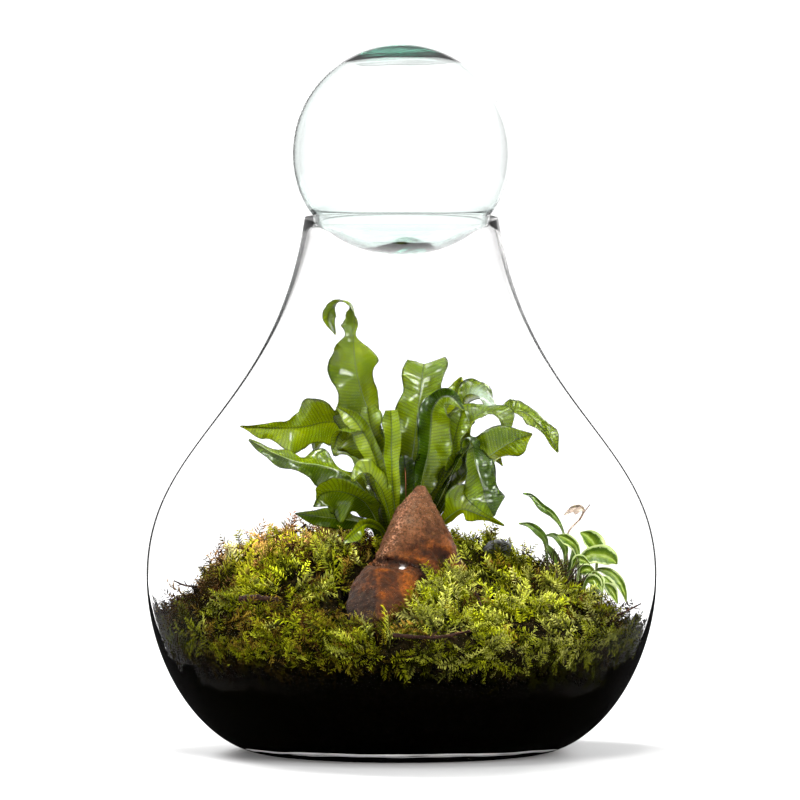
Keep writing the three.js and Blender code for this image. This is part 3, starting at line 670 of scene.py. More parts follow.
def make_shoot(seed, leaflets):
    """One feathery shoot of length 1 growing along +X, its comb of leaflets near the XY plane."""
    draw = np.random.default_rng(seed)
    bend = draw.uniform(-0.25, 0.25)
    droop = draw.uniform(0.0, 0.3)

    def spine(t):
        t = np.asarray(t, float)
        return together(t, bend * t * t, -droop * t * t)

    parts = Parts()
    path = spine([0, 0.5, 1.0])
    angle = np.arange(3) / 3 * TAU
    ring = together(np.zeros(3), np.cos(angle), np.sin(angle))
    stem = np.vstack([path[0] + ring * 0.026, path[1] + ring * 0.018, path[2]])
    # painted light along each shoot: 0 at its base, which is painted in shade, up to 1 at its tip
    parts.add(stem, [STEM_FACES], tip=[0, 0, 0, 0.5, 0.5, 0.5, 1.0])
    for k in range(leaflets):
        at = 0.14 + 0.85 * (k + draw.uniform(-0.25, 0.25)) / leaflets
        root = spine(at)
        ahead = unit(spine(at + 0.02) - root)
        size = 0.20 * math.sin(math.pi * min(0.97, 0.30 + 0.62 * at)) + 0.05
        size *= draw.uniform(0.75, 1.25)
        lean = math.radians(draw.uniform(42, 70))
        rise = draw.uniform(-0.5, 0.5)
        out = np.array([-ahead[1], ahead[0], 0]) * (1 if k % 2 else -1)
        way = unit(ahead * math.cos(lean) + out * math.sin(lean) + np.array([0, 0, rise]))
        flat = unit(np.cross(way, [0, 0, 1.0]))
        up = np.cross(flat, way)
        half = 0.09 * size + 0.008
        wide = root + way * size * 0.38
        points = [
            root - way * 0.01, wide + flat * half, wide - flat * half + up * half * 0.5,
            root + way * size - up * size * 0.2,
        ]
        parts.add(points, [LEAFLET_FACES], tip=[0.15 + 0.5 * at, 0.6 + 0.4 * at, 0.6 + 0.4 * at, 1.0])
    return np.concatenate(parts.points), np.concatenate(parts.faces), parts.all_of("tip")


SHOOTS = [make_shoot(100 + k, 17 + k % 3) for k in range(SHOOT_KINDS)]


def shoot_frames(way, roll):
    """Rotations that take +X to each direction, rolled about it."""
    helper = np.tile([0.0, 0.0, 1.0], (len(way), 1))
    steep = np.abs(way[:, 2]) > 0.95
    helper[steep] = [1.0, 0.0, 0.0]
    side = unit(np.cross(helper, way))
    up = np.cross(way, side)
    c, s = np.cos(roll)[:, None], np.sin(roll)[:, None]
    side, up = side * c + up * s, up * c - side * s
    return together(way, side, up)


def keep_inside(points, clearance):
    limit = inside_radius(points[:, 2]) - clearance
    r = np.linalg.norm(points[:, :2], axis=1)
    points[:, :2] *= np.minimum(1, limit / np.maximum(r, 1e-6))[:, None]
    return points


CUSHIONS = {
    "moss_right": (-32, 33),
    "moss_back_right": (33, 88),
    "moss_back_left": (88, 143),
    "moss_left": (143, 203),
    "moss_front_left": (203, 263),
    "moss_front_right": (263, 328),
}
SHOOTS_PER_DEGREE = {"moss_front_left": 17, "moss_front_right": 17, "moss_left": 15, "moss_right": 15}
SHOOTS_BEHIND = 11  # the same for the cushions behind
WALL_SHOOTS_PER_DEGREE = 4
BED_DEPTH = 6.5  # of the shoots' bed under the cushion's surface
TIP_LOW = -5.0  # heights of the shoots' tips from the cushion's surface
TIP_HIGH = 3.5


def rock_room(x, y):
    """True where the rock stands."""
    peak = (np.abs((x - 12) / 30) + np.abs((y + 44) / 24)) < 1
    block = (np.abs((x + 10) / 24) + np.abs((y + 74) / 24)) < 1
    return peak | block


NO_CAP = 999.0  # stands for no limit
# x, and how high the moss may reach there before the rock
ROCK_FOOT = ([-32, -15, 0, 17, 39, 48], [76, 86, 97, 103, 108.5, 112])


def in_box(x, y, x0, x1, y0, y1):
    return (x > x0) & (x < x1) & (y > y0) & (y < y1)


def height_cap(x, y):
    """How high moss may reach where it would hide the rock's front, the dark stone or the roots."""
    cap = np.where(in_box(x, y, -34, 48, -106, -48), np.interp(x, *ROCK_FOOT), NO_CAP)
    cap = np.where(in_box(x, y, 44, 80, -62, -6), 110.0, cap)
    return np.where(in_box(x, y, 80, 112, -50, 0), 110 - 0.45 * (x - 80), cap)


def open_ground(x, y):
    """True where no shoot roots, so that the dark stone and the twigs show."""
    bare = ((x - 58) / 13) ** 2 + ((y + 7) / 14) ** 2 < 1
    bare |= ((x - 45) / 7) ** 2 + ((y + 34) / 16) ** 2 < 1
    for radius, *points in TWIGS.values():
        for px, py, _ in Spline(points).at(np.linspace(0, 1, 12)):
            bare |= (x - px) ** 2 + (y - py) ** 2 < (3.0 + radius) ** 2
    return bare


def tone_of(x, y, z):
    """How bright and yellow the moss is, 0 to 1, in patches."""
    points = together(x, y, z)
    patch = lumps(points, 42.0, 2) * 0.30 + lumps(points, 13.0, 2, shift=5.0) * 0.16
    side = 0.22 * np.clip((x + 20) / 90, -0.6, 1) + 0.10 * np.clip((-y - 20) / 90, -1, 1)
    return 0.5 + patch + side


def sun_at(x, y):
    """How strongly light from behind glows in the moss: most on the left mound, some at the right."""
    left = 1.25 * clamp((y + 60) / 50) * clamp((10 - x) / 40)
    right = 0.22 * clamp((x - 10) / 50)
    return clamp(left + right)


def sink_at(x):
    """How far the moss lies under its cushion's own surface, at the left and the right wall."""
    return 7.0 * clamp((-x - 90) / 40) + 8.0 * clamp((x - 100) / 35)


BED_DEGREES = 1.6  # between two rows of the bed's mesh
BED_STEPS = 44  # points along a row
BED_CLEAR = 0.6  # between the bed's edge and the glass


def bed_points(a0, a1):
    """The grid of the dark bed under one cushion's shoots, upper and lower."""
    across = int(round((a1 - a0) / BED_DEGREES)) + 1
    turn = np.radians(np.linspace(a0 + 0.05, a1 - 0.05, across))[:, None]
    share = np.linspace(0, 1, BED_STEPS)[None]

    def spread(edge):
        r = MOSS_IN_R + (edge - MOSS_IN_R) * share
        return r * np.cos(turn), r * np.sin(turn)

    x, y = spread(inside_radius(moss_top(BED_R * np.cos(turn), BED_R * np.sin(turn))) - BED_CLEAR)
    height = np.minimum(moss_top(x, y) - BED_DEPTH - sink_at(x), height_cap(x, y) - 5)
    top = together(x, y, height).reshape(-1, 3)
    top[:, 2] += lumps(top, 9.0, 3) * 2.0 + lumps(top, 3.2, 2, shift=3.0) * 0.9
    x, y = spread(inside_radius(soil_line(turn)) - BED_CLEAR)
    low = together(x, y, soil_top(x, y) + 0.6)
    low[:, -1, 2] = soil_line(turn[:, 0]) + 0.5
    low[:, -2, 2] = soil_line(turn[:, 0]) + 1.0
    low = low.reshape(-1, 3)
    top[:, 2] = np.maximum(top[:, 2], low[:, 2] + 1.5)
    return keep_inside(top, 0.5), keep_inside(low, 0.5), across


def sheet_faces(rows, columns):
    """Faces that close two alike grids, one over the other, into a solid."""
    count = rows * columns
    upper = grid_faces(rows, columns)
    rim = np.concatenate([
        np.arange(columns),
        np.arange(1, rows) * columns + columns - 1,
        (rows - 1) * columns + np.arange(columns - 2, -1, -1),
        np.arange(rows - 2, 0, -1) * columns,
    ])
    after = np.roll(rim, -1)
    return [upper, upper[:, ::-1] + count, together(after, rim, rim + count, after + count)]


CRACK = 0.16  # the noise value up to which a crack between the tufts reaches


def make_moss(name, a0, a1, materials):
    """One cushion: its dark bed, the shoots that root in it, and those that lie against the glass."""
    top, low, across = bed_points(a0, a1)
    parts = Parts()
    tone = np.tile(tone_of(*top.T) * 0.6, 2)
    parts.add(np.vstack([top, low]), sheet_faces(across, BED_STEPS), kind=1, tone=tone, tip=0.0, sun=0.0)
    wanted = int((a1 - a0) * SHOOTS_PER_DEGREE.get(name, SHOOTS_BEHIND))
    tries = 4 * wanted
    r = np.sqrt(rng.uniform(MOSS_IN_R ** 2, (BED_R - 1.5) ** 2, tries))
    turn = np.radians(rng.uniform(a0, a1, tries))
    x, y = r * np.cos(turn), r * np.sin(turn)
    normal = moss_normal(x, y)
    crack = np.abs(lumps(together(x, y, 0 * x), 26.0, 2, shift=21.0))
    crowd = 1 + 0.35 * np.clip(-y / 100, -1, 1)
    chance = crowd / normal[:, 2] / 2.0 * np.clip(crack / CRACK, 0.12, 1)
    keep = (rng.uniform(0, 1, tries) < chance) & ~rock_room(x, y) & ~open_ground(x, y)
    keep &= r < inside_radius(moss_top(x, y)) - 1
    x, y, normal, crack = (v[keep][:wanted] for v in (x, y, normal, crack))
    z = moss_top(x, y)
    count = len(x)
    spot = together(x, y, z)
    field = together(lumps(spot, 24.0, 1, shift=2.0), lumps(spot, 24.0, 1, shift=12.0), 0 * x) * 2.2
    way = unit(normal * rng.uniform(0.1, 0.75, (count, 1)) + field + rng.normal(0, 0.42, (count, 3)))
    into = np.sum(way * normal, axis=1, keepdims=True)
    way = unit(way + normal * np.maximum(0.16 - into, 0))
    size = rng.uniform(12.0, 24.0, count) * (0.6 + 0.4 * clamp(crack / 0.2))
    gap = 1 - clamp(crack / CRACK)
    tip_at = TIP_LOW + (TIP_HIGH - TIP_LOW) * rng.uniform(0, 1, count) ** 1.2 - 4.0 * gap
    tip_at -= sink_at(x)
    tip_at = np.minimum(tip_at, height_cap(x, y) - z + rng.uniform(-3.0, 1.0, count))
    depth = np.maximum(size * np.sum(way * normal, axis=1) - tip_at, 3.5)
    root = spot - normal * depth[:, None]
    # shoots in the cracks between the tufts get a lower tone, darker and browner: painted shade there
    tone = tone_of(x, y, z) + rng.normal(0, 0.17, count) - 0.3 * gap
    brown = 0.15 - 0.08 * np.clip(x / 60, -0.6, 1) + 0.5 * clamp((np.abs(x) - 106) / 22)
    tone = np.where(rng.uniform(0, 1, count) < brown, rng.uniform(0.0, 0.25, count), tone)
    # painted shade: shoots whose tips lie deeper in the cushion are painted darker
    painted_shoot_light = np.clip(0.5 + 0.5 * (tip_at - TIP_LOW) / (TIP_HIGH - TIP_LOW), 0.25, 1)
    patch = 0.30 * lumps(spot, 11.0, 2, shift=31.0)
    sun = clamp(sun_at(x, y) + patch + rng.normal(0, 0.15, count))
    add_shoots(parts, root, way, size, tone, painted_shoot_light, sun)
    add_wall_shoots(parts, a0, a1)
    piece(name + "_shoots", parts, materials, [name], smooth=False)


def add_wall_shoots(parts, a0, a1):
    """Shoots that lie against the glass, from the soil's edge up."""
    count = int((a1 - a0) * WALL_SHOOTS_PER_DEGREE)
    turn = np.radians(rng.uniform(a0, a1, count))
    low = soil_line(turn) + 2
    high = moss_top(BED_R * np.cos(turn), BED_R * np.sin(turn))
    level = rng.uniform(0, 1, count) ** 0.8
    z = low + (high - low) * level
    root = around(inside_radius(z) - 3.0, turn, z)
    out = unit(root * [1, 1, 0])
    along = together(-out[:, 1], out[:, 0], 0 * z)
    sideways = along * rng.normal(0, 0.9, (count, 1))
    way = unit(out * 0.45 + sideways + np.array([0, 0, 1.0]) * rng.normal(0.15, 0.6, (count, 1)))
    size = rng.uniform(9.0, 17.0, count)
    # painted shade: shoots low on the glass, and those at the jar's left and right, are painted darker
    tone = tone_of(*root.T) - 0.35 * (1 - level) + rng.normal(0, 0.12, count)
    add_shoots(parts, root, way, size, tone, 0.2 + 0.7 * level * (1 - 0.6 * flank(turn)), 0 * z)


def add_shoots(parts, root, way, size, tone, painted_shoot_light, sun):
    """A shoot of one kind or another at each root, growing in its direction."""
    kind = rng.integers(0, SHOOT_KINDS, len(root))
    turned = shoot_frames(way, rng.uniform(0, TAU, len(root)))
    for k, (shape, faces, tip) in enumerate(SHOOTS):
        chosen = np.flatnonzero(kind == k)
        if not len(chosen):
            continue
        count = len(shape)
        spread = np.einsum("nij,vj->nvi", turned[chosen], shape) * size[chosen, None, None]
        points = keep_inside((spread + root[chosen, None]).reshape(-1, 3), -0.1)
        parts.add(
            points, [copies(faces, len(chosen), count)],
            tone=np.repeat(clamp(tone[chosen]), count),
            tip=np.tile(tip, len(chosen)) * np.repeat(painted_shoot_light[chosen], count),
            sun=np.repeat(sun[chosen], count),
        )


# Rock

def remeshed(name, voxel):
    """A copy of a node's mesh in even small faces, about voxel millimetres wide."""
    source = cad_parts[name]
    copy = bpy.data.objects.new("copy_" + name, source.data.copy())
    bpy.context.scene.collection.objects.link(copy)
    change = copy.modifiers.new("even", "REMESH")
    change.mode = "VOXEL"
    change.voxel_size = voxel * MM
    smooth = copy.modifiers.new("soft", "SMOOTH")
    smooth.factor = 0.5
    smooth.iterations = 2
    made = bpy.data.meshes.new_from_object(copy.evaluated_get(bpy.context.evaluated_depsgraph_get()))
    bpy.data.objects.remove(copy)
    made.materials.clear()
    return made


def vertex_arrays(mesh):
    """A mesh's points in millimetres, and its normals."""
    points = np.zeros(len(mesh.vertices) * 3, np.float32)
    normals = np.zeros(len(mesh.vertices) * 3, np.float32)
    mesh.vertices.foreach_get("co", points)
    mesh.vertex_normals.foreach_get("vector", normals)
    return points.reshape(-1, 3) / MM, normals.reshape(-1, 3).astype(float)


def set_points(mesh, points):
    mesh.vertices.foreach_set("co", (points * MM).astype(np.float32).ravel())
    mesh.update()


def raised(mesh, points, normals, height):
    """Moves each point along its normal, and returns them."""
    points = points + normals * height[:, None]
    set_points(mesh, points)
    return points


def near_line(points, line, width):
    """1 on a line of x and z, falling to 0 at width from it."""
    line = np.asarray(line, float)
    at = points[:, [0, 2]]
    best = np.full(len(at), 1e9)
    for a, b in zip(line[:-1], line[1:]):
        t = clamp(((at - a) @ (b - a)) / np.dot(b - a, b - a))
        best = np.minimum(best, np.linalg.norm(at - (a + t[:, None] * (b - a)), axis=1))
    return clamp(1 - best / width)


# Lines and a painted glint, a small white fleck, on the rock's front, as x and z
ROCK_CLEFT = [(-17, 113.2), (-9, 114), (1, 113.6), (9, 111.5), (15, 107.5)]
ROCK_ARCH = [(3, 118.5), (8, 121.5), (14, 122.5), (21, 121), (27, 114), (30, 111)]
ROCK_HOLLOW = [(13, 118.5), (19, 119), (25, 116.5)]
ROCK_RIDGE = [(5, 152), (-5, 128), (-13, 115)]
ROCK_GLINT = (0.3, 110.4)
GLINT_HALF = (1.6, 0.6)  # half the painted glint's width and height

# Flat faces cut on the rock: the way each faces, how deep it cuts, and the heights it spans
ROCK_FACETS = [
    ((-0.72, -0.55, 0.42), 2.6, 114, 170),
    ((0.16, -0.90, 0.40), 3.4, 114, 170),
    ((0.80, -0.42, 0.42), 2.2, 114, 170),
    ((0.10, 0.90, 0.42), 2.4, 100, 170),
]
RUST_CLIMB = 11  # how much higher the rust reaches at the rock's right


def cut_facets(points):
    for way, depth, low, high in ROCK_FACETS:
        way = unit(np.array(way))
        within = (points[:, 2] > low) & (points[:, 2] < high)
        reach = points @ way
        limit = reach[within].max() - depth
        points = points - np.where(within, np.maximum(reach - limit, 0), 0)[:, None] * way
    return points


def make_rock(material):
    mesh = remeshed("rock", 1.15)
    set_points(mesh, cut_facets(vertex_arrays(mesh)[0]))
    points, normals = vertex_arrays(mesh)
    front = clamp(-normals[:, 1] * 2)
    shape = lumps(points, 26.0, 2) * 0.4 + (0.3 - np.abs(lumps(points, 8.0, 4, shift=4.0)))
    lower = clamp((122 - points[:, 2]) / 12)
    grain = lumps(points, 2.2, 2, shift=8.0) * (0.28 + 0.22 * lower)
    ridge = near_line(points, ROCK_RIDGE, 4.6)
    chips = np.abs(lumps(points, 3.6, 2, shift=14.0)) * ridge * 1.6
    cleft = near_line(points, ROCK_CLEFT, 3.0) ** 0.7 * front * 4.6
    arch = near_line(points, ROCK_ARCH, 2.8) * front * 2.0
    hollow = near_line(points, ROCK_HOLLOW, 4.0) ** 0.8 * front * 4.0
    points = raised(mesh, points, normals, shape + grain - chips - cleft - arch - hollow)
    x, _, z = points.T
    chip = np.hypot((x - ROCK_GLINT[0]) / GLINT_HALF[0], (z - ROCK_GLINT[1]) / GLINT_HALF[1])
    climb = RUST_CLIMB * clamp((x + 5) / 20)
    # painted shade in the cleft and the hollow
    dark = near_line(points, ROCK_CLEFT, 3.4) + 0.8 * near_line(points, ROCK_HOLLOW, 4.0)
    # left drives painted shade on the faces that turn to the left
    give_values(
        mesh, chip=clamp(2.0 - 2 * chip) * front, height=(z - 70 - climb) / 90, ridge=ridge,
        left=clamp(-normals[:, 0] * 2.4), cleft=clamp(dark) * front,
    )
    piece("rust_rock", mesh, [material], ["rock"], crease=60)


def make_stone(material):
    mesh = remeshed("stone", 0.7)
    points, normals = vertex_arrays(mesh)
    raised(mesh, points, normals, lumps(points, 7.0, 3) * 0.6 + lumps(points, 1.8, 2) * 0.15)
    piece("dark_stone", mesh, [material], ["stone"], crease=70)


def make_root_ball(material):
    mesh = remeshed("root_ball", 1.2)
    points, normals = vertex_arrays(mesh)
    strands = np.sin(np.arctan2(points[:, 1], points[:, 0]) * 22 + points[:, 2] * 0.25) * 0.4
    raised(mesh, points, normals, lumps(points, 5.0, 3) * 0.7 + strands)
    piece("fern_root", mesh, [material], ["root_ball"])


# Leaves

def full_station(x, y, z, left, right=None, turn=0):
    """A place on a leaf's rib, its half widths there, and the degrees its blade turns about it."""
    return [x, y, z, left, left if right is None else right, turn]


def leaf(fold, ripple, waves, shift, *stations, **looks):
    """A leaf's bends, the stations of its rib, and the looks that differ from the usual.

    fold and ripple are shares of its half width, waves counts its ripples, and shift moves them.
    The looks are: depth, the way its blade's back faces; lean, the degrees it leans about its rib, so that
    its wavy margin shows; frill, how far its margin waves; shade, from 0 for the brightest yellow-green
    to 1 for the darkest; halves, how much darker its left and right half are painted, a painted
    shade where one half of the folded blade turns from the light; and curls, smaller fronds that only the
    looks hold.
    """
    usual = {"depth": BACKWARD, "lean": 15, "frill": 2.4, "shade": 0.5, "halves": (0.10, -0.08), "curls": ()}
    bends = {"fold": fold, "ripple": ripple, "waves": waves, "shift": shift}
    places = np.array([full_station(*s) for s in stations], float)
    return {**usual, **bends, "stations": places, **looks}


BACKWARD = (0, 1, 0)
DOWN = (0, 0, -1)
DOWN_BACKWARD = (0, 1, -1)

FRONDS = {
    "tall_left": leaf(
        0.1, 0.22, 3, 0.6,
        (-4, 1, 121, 1.3), (-9, -1, 158, 3, 2.5, 20), (-15, -2, 182, 13, 7, 25),
        (-19.5, -3, 200, 17, 7.5, 10), (-24, -4, 214, 13, 10), (-27, -4, 227, 16), (-28, -5, 238, 12, 8),
        (-28.3, -5, 245, 4, 2, 10), (-27.6, -4, 254, 9, 3, 30), (-30, -2, 264, 5, 2.5, 60),
        (-37, 1, 265.5, 3, 3, 60), (-43.5, 2, 257, 4, 4, 20), (-39, 1, 246, 0.4),
        lean=20, frill=1.6, shade=0.45, halves=(0.15, -0.1),
    ),
    "left_high": leaf(
        0.12, 0.16, 2, 2,
        (-7, 6, 120, 1.3), (-16, 8, 158, 3, 3, 20), (-24, 8, 184, 9, 7, 20), (-34, 6, 193, 13, 6, 10),
        (-46, 4, 194, 11, 17, 5), (-54, 2, 192, 11, 18), (-60, 1, 191, 11, 8), (-74, -1, 190.5, 8, 4.5),
        (-95, -4, 191.5, 0.4),
        lean=30, frill=2.6, shade=0.35, halves=(-0.1, 0.15),
    ),
    "left_mid": leaf(
        -0.3, 0.14, 2.4, 0,
        (-8, -4, 119, 1.3), (-16, -17, 142, 3), (-25, -26, 158, 5), (-36, -31, 165.5, 8, 3.5),
        (-48, -33, 169, 6, 11), (-59, -34, 170.5, 4.5, 10), (-74, -35, 176, 4, 5), (-88.5, -36, 184, 0.4),
        lean=-32, frill=2.6, shade=0.55, halves=(0.3, -0.15),
    ),
    "left_low": leaf(
        0.2, 0.2, 1.6, 3,
        (-9, -7, 118, 1.3), (-16, -20, 139, 2.4), (-25, -34, 150, 11), (-38, -40, 154, 14, 10, 10),
        (-47, -42, 152, 9, 12, 20), (-51, -44, 145, 0.6, 0.6, 30),
        lean=28, frill=2.2, shade=0.6,
    ),
    "left_ground": leaf(
        -0.2, 0.12, 2, 1,
        (-10, 1, 117, 1.3), (-17, -5, 132, 1.6), (-28, -14, 136, 4.5, 4.5, 10), (-43, -21, 138, 6, 5, 20),
        (-62, -27, 140.5, 0.4),
        lean=-20, shade=0.8,
    ),
    "left_small": leaf(
        0.2, 0.1, 1, 0,
        (-5, -11, 117, 1.2), (-12, -23, 132, 1.8), (-21, -33, 135, 4, 4, 10), (-29, -38, 129, 4, 3.5, 20),
        (-34, -41, 124, 0.4, 0.4, 20),
        lean=20, shade=0.2,
    ),
    "front_left": leaf(
        0.25, 0.08, 2, 2,
        (-4, -9, 120, 1.2), (-10, -16, 152, 4.5, 4), (-14, -20, 169, 6, 5.5), (-20, -22, 184, 6, 5.5),
        (-29, -23, 197, 5), (-38, -23, 203, 0.4),
        lean=18, frill=1.4, shade=0.2, halves=(-0.1, 0.2),
    ),
    "front_mid": leaf(
        0.2, 0.08, 1.6, 0.5,
        (0, -10, 120, 1.2), (-5, -20, 152, 3.5), (-6, -25, 176, 5), (-6, -27, 192, 5.5),
        (-6.5, -27, 201, 3.5),
        lean=-14, frill=0.8, shade=0.15,
    ),
    "left_behind": leaf(
        0.15, 0.14, 1.8, 1.5,
        (-3, -4.5, 120, 1.2), (-8, -8, 150, 3.5), (-14, -11, 176, 8), (-18, -12, 192, 7, 8),
        (-20, -12, 203, 3, 5),
        lean=20, shade=0.3,
        curls=[
            leaf(0.25, 0.2, 1.8, 0.4,
                 (-6, -3, 120, 1.3), (-14, -10, 160, 3), (-21, -14, 180, 8, 8, 20),
                 (-28, -16, 190, 9, 8, 30), (-36, -17, 188, 6, 6, 20), (-40, -17, 178, 0.5)),
            leaf(0.3, 0.15, 1.4, 1.4,
                 (-3, -10, 120, 1.3), (-9, -20, 146, 3), (-14, -27, 158, 6, 6, -20),
                 (-22, -32, 164, 6, 6, -30), (-29, -34, 159, 0.5, 0.5, -10)),
        ],
    ),
    "front_dark": leaf(
        0.15, 0.06, 1.5, 2,
        (2, -7, 119, 1.3), (2.2, -8.5, 131, 1.8), (2.5, -11, 145, 6), (2.5, -11.5, 157, 7.5, 8),
        (2, -10.5, 168, 6, 6.5), (1.5, -9, 174, 1.5),
        lean=0, frill=0.6, shade=1.0, halves=(0.0, 0.0),
    ),
    "centre_tall": leaf(
        0.12, 0.08, 2.6, 1.2,
        (0.5, 5, 120, 1.3), (4, 8, 156, 3), (7.5, 9, 181, 8.5, 9), (9.5, 9, 199, 12, 13),
        (11.5, 10, 213, 11, 14), (12.5, 13, 223, 10.5, 14), (13.5, 22, 228.5, 10, 13), (15, 34, 225, 8),
        (16, 44, 215, 0.5),
        depth=DOWN_BACKWARD, lean=6, frill=1.0, shade=0.42, halves=(0.05, 0.15),
    ),
    "centre_front": leaf(
        0.3, 0.14, 2.2, 0.2,
        (6.5, -9, 119, 1.3), (10, -16, 148, 3.5), (12.5, -19, 163, 6, 9), (15.5, -22, 176, 8, 11),
        (17, -24, 190, 9, 11), (18, -26, 202, 8), (24, -28, 209, 5, 6, 10), (30, -30, 208, 3, 5, 20),
        (36, -32, 201, 0.5, 0.5, 20),
        lean=-12, frill=2.2, shade=0.62, halves=(0.38, -0.15),
    ),
    "centre_back": leaf(
        0.1, 0.15, 2.4, 2,
        (4, 11, 120, 1.3), (14, 24, 168, 6), (25, 32, 198, 10), (31, 35, 210, 7, 8), (36, 36, 221, 0.5),
        lean=20, shade=0.1,
    ),
    "centre_right": leaf(
        0.2, 0.16, 2, 0,
        (7.5, -3, 119, 1.3), (16, -10, 146, 3.5), (26, -16, 168, 10), (31, -18, 184, 9, 10),
        (34, -18, 195, 5, 6), (36, -17, 203, 0.6),
        lean=30,
        curls=[
            leaf(0.2, 0.2, 2, 1,
                 (8, -2, 120, 1.3), (24, -8, 160, 3), (34, -14, 182, 8, 8, 10), (41, -16, 195, 10, 9, 20),
                 (50, -17, 200, 9, 9, 40), (58, -18, 195, 6, 6, 40), (62, -18, 184, 0.5, 0.5, 20)),
            leaf(0.3, 0.2, 1.6, 2,
                 (9, -6, 118, 1.3), (20, -18, 150, 3), (28, -24, 167, 7, 8, -20),
                 (37, -27, 176, 9, 9, -30), (46, -28, 175, 7, 7, -20), (49, -28, 164, 0.5)),
        ],
    ),
    "right_high": leaf(
        0.12, 0.16, 2.6, 1,
        (9, 3, 120, 1.4), (22, 6, 164, 3), (32, 6, 194, 7, 7, 20), (40, 4, 206, 8, 9, 30),
        (47.5, 2, 208, 10, 11, 35), (56, 0, 202, 9, 7, 40), (64, -1, 200, 5, 4.5, 30),
        (72.5, -2, 199.5, 4.5, 4, 20), (79, -3, 194, 6, 5), (85.5, -4, 187, 4.5, 4), (92, -5, 176, 0.4),
        lean=34, frill=3.4, shade=0.4,
    ),
    "right_mid": leaf(
        -0.12, 0.12, 2, 2.6,
        (10.5, -5, 117, 1.3), (26, -23, 148, 3), (40, -29, 167, 8, 7), (52, -30, 175, 13, 8),
        (61, -30, 181, 10, 9), (68.5, -30, 184.5, 6, 7.5), (76, -30, 187, 0.6),
        lean=-28, frill=2.6, shade=0.35, halves=(0.25, -0.15),
    ),
    "right_dark": leaf(
        0.15, 0.12, 2, 0.6,
        (9, -8, 118, 1.3), (24, -28, 152, 3, 3, 30), (36, -38, 176, 5, 5, 60), (40.5, -43, 181, 6, 6, 50),
        (42.5, -46, 170, 8), (46.5, -48, 158, 9, 11), (49.5, -49, 147, 8, 9), (53.5, -48, 139.5, 0.6),
        lean=24, frill=2.2, shade=0.85, halves=(0.1, -0.2),
    ),
    "right_low": leaf(
        -0.15, 0.12, 1.8, 1.4,
        (9, -10, 116, 1.3), (19, -22, 129, 1.8), (29, -33, 140, 5), (35, -38, 143.5, 11, 6),
        (42, -40, 141.5, 6, 5), (49, -41, 138.5, 3), (59.5, -42, 134, 0.4),
        lean=-26, frill=2.2, shade=0.15,
    ),
    "back_left": leaf(
        0.15, 0.2, 2.6, 1,
        (-8, 8, 118, 1.3), (-18, 26, 156, 3.2), (-32, 44, 178, 10, 11), (-46, 58, 182, 10),
        (-57, 67, 170, 0.5),
        depth=DOWN,
    ),
    "back_low_left": leaf(
        0.15, 0.2, 2.4, 2.4,
        (-5, 9, 117, 1.3), (-13, 32, 144, 3), (-20, 56, 159, 9, 10), (-25, 80, 154, 8, 9),
        (-28, 93, 140, 0.5),
        depth=DOWN,
    ),
    "back_mid": leaf(
        0.15, 0.2, 2.8, 2,
        (0, 11, 119, 1.3), (1, 36, 160, 3.5), (0, 58, 186, 11, 12), (-4, 79, 186, 11, 10),
        (-8, 93, 172, 0.5),
        depth=DOWN,
    ),
    "back_low_right": leaf(
        0.15, 0.2, 2.4, 0.6,
        (5, 10, 117, 1.3), (13, 36, 146, 3), (17, 60, 160, 9, 10), (20, 84, 155, 9, 8), (22, 98, 141, 0.5),
        depth=DOWN,
    ),
    "back_right": leaf(
        0.15, 0.2, 2.6, 0,
        (8, 8, 118, 1.3), (21, 28, 156, 3), (37, 45, 176, 10), (51, 57, 179, 10, 9), (61, 64, 167, 0.5),
        depth=DOWN,
    ),
}

# The stations of the small plants' leaves
SMALL_LEAVES = {
    "slender_a": [
        (97, 2, 88, 0.6), (95.5, 0, 128, 0.6), (89, -2, 139.3, 1.8), (82.5, -4, 144, 2.4, 1.8),
        (76, -4, 150.5, 1.2), (71.5, -4, 151.8, 0.4),
    ],
    "slender_b": [
        (90, -6, 92, 0.6), (85.5, -8, 113, 0.6), (84.3, -8, 125, 1.8), (80, -9, 130, 2.4, 2.2),
        (75, -9, 133.2, 1.6), (68.8, -9, 134.3, 0.4),
    ],
    "slender_c": [
        (97, -12, 88, 0.6), (95.6, -14, 113, 0.6), (96, -15, 119, 2, 1.6), (93.2, -16, 124, 2.4, 2),
        (89, -16, 127.5, 1.6), (84.5, -16, 127.6, 0.4),
    ],
    "striped_a": [
        (100, -21, 86, 0.6), (103.5, -23, 112, 0.6), (101.5, -25, 121.5, 3, 2), (96, -26, 126, 3.8, 3),
        (91, -26, 128, 0.5),
    ],
    "striped_b": [
        (111, -4, 84, 0.6), (115, -5, 114, 1), (113.5, -6, 121.5, 5, 6), (109.5, -7, 126.5, 5),
        (105, -8, 129, 0.6),
    ],
    "striped_c": [
        (108, -15, 84, 0.6), (104.5, -18, 112, 1.5), (110, -20, 116, 5), (117.5, -21, 116, 6, 5.5),
        (123, -21, 114, 4), (126, -21, 111, 0.4),
    ],
    "striped_d": [
        (114, -8, 83, 0.6), (114, -14, 107, 0.8), (121, -16, 106, 2.6), (127, -17, 101, 2.8),
        (130, -18, 94.5, 2), (131.5, -18, 87.5, 0.4),
    ],
    "striped_e": [
        (110, -20, 84, 0.6), (112, -24, 106, 1), (115, -28, 101, 3.2), (117, -31, 94.5, 0.4),
    ],
    "striped_f": [
        (117, -14, 82, 0.6), (118, -22, 103, 1), (122, -25, 97, 3.2), (124, -26, 89.5, 0.4),
    ],
    "dry_sprig": [
        (101, 8, 88, 0.6), (98.5, 8, 128, 0.5), (106, 8, 137, 0.5), (107.5, 8, 142, 0.8),
        (101, 6, 143.5, 3.4, 1.6, 30), (96, 4, 139, 0.4, 0.4, 30),
    ],
}

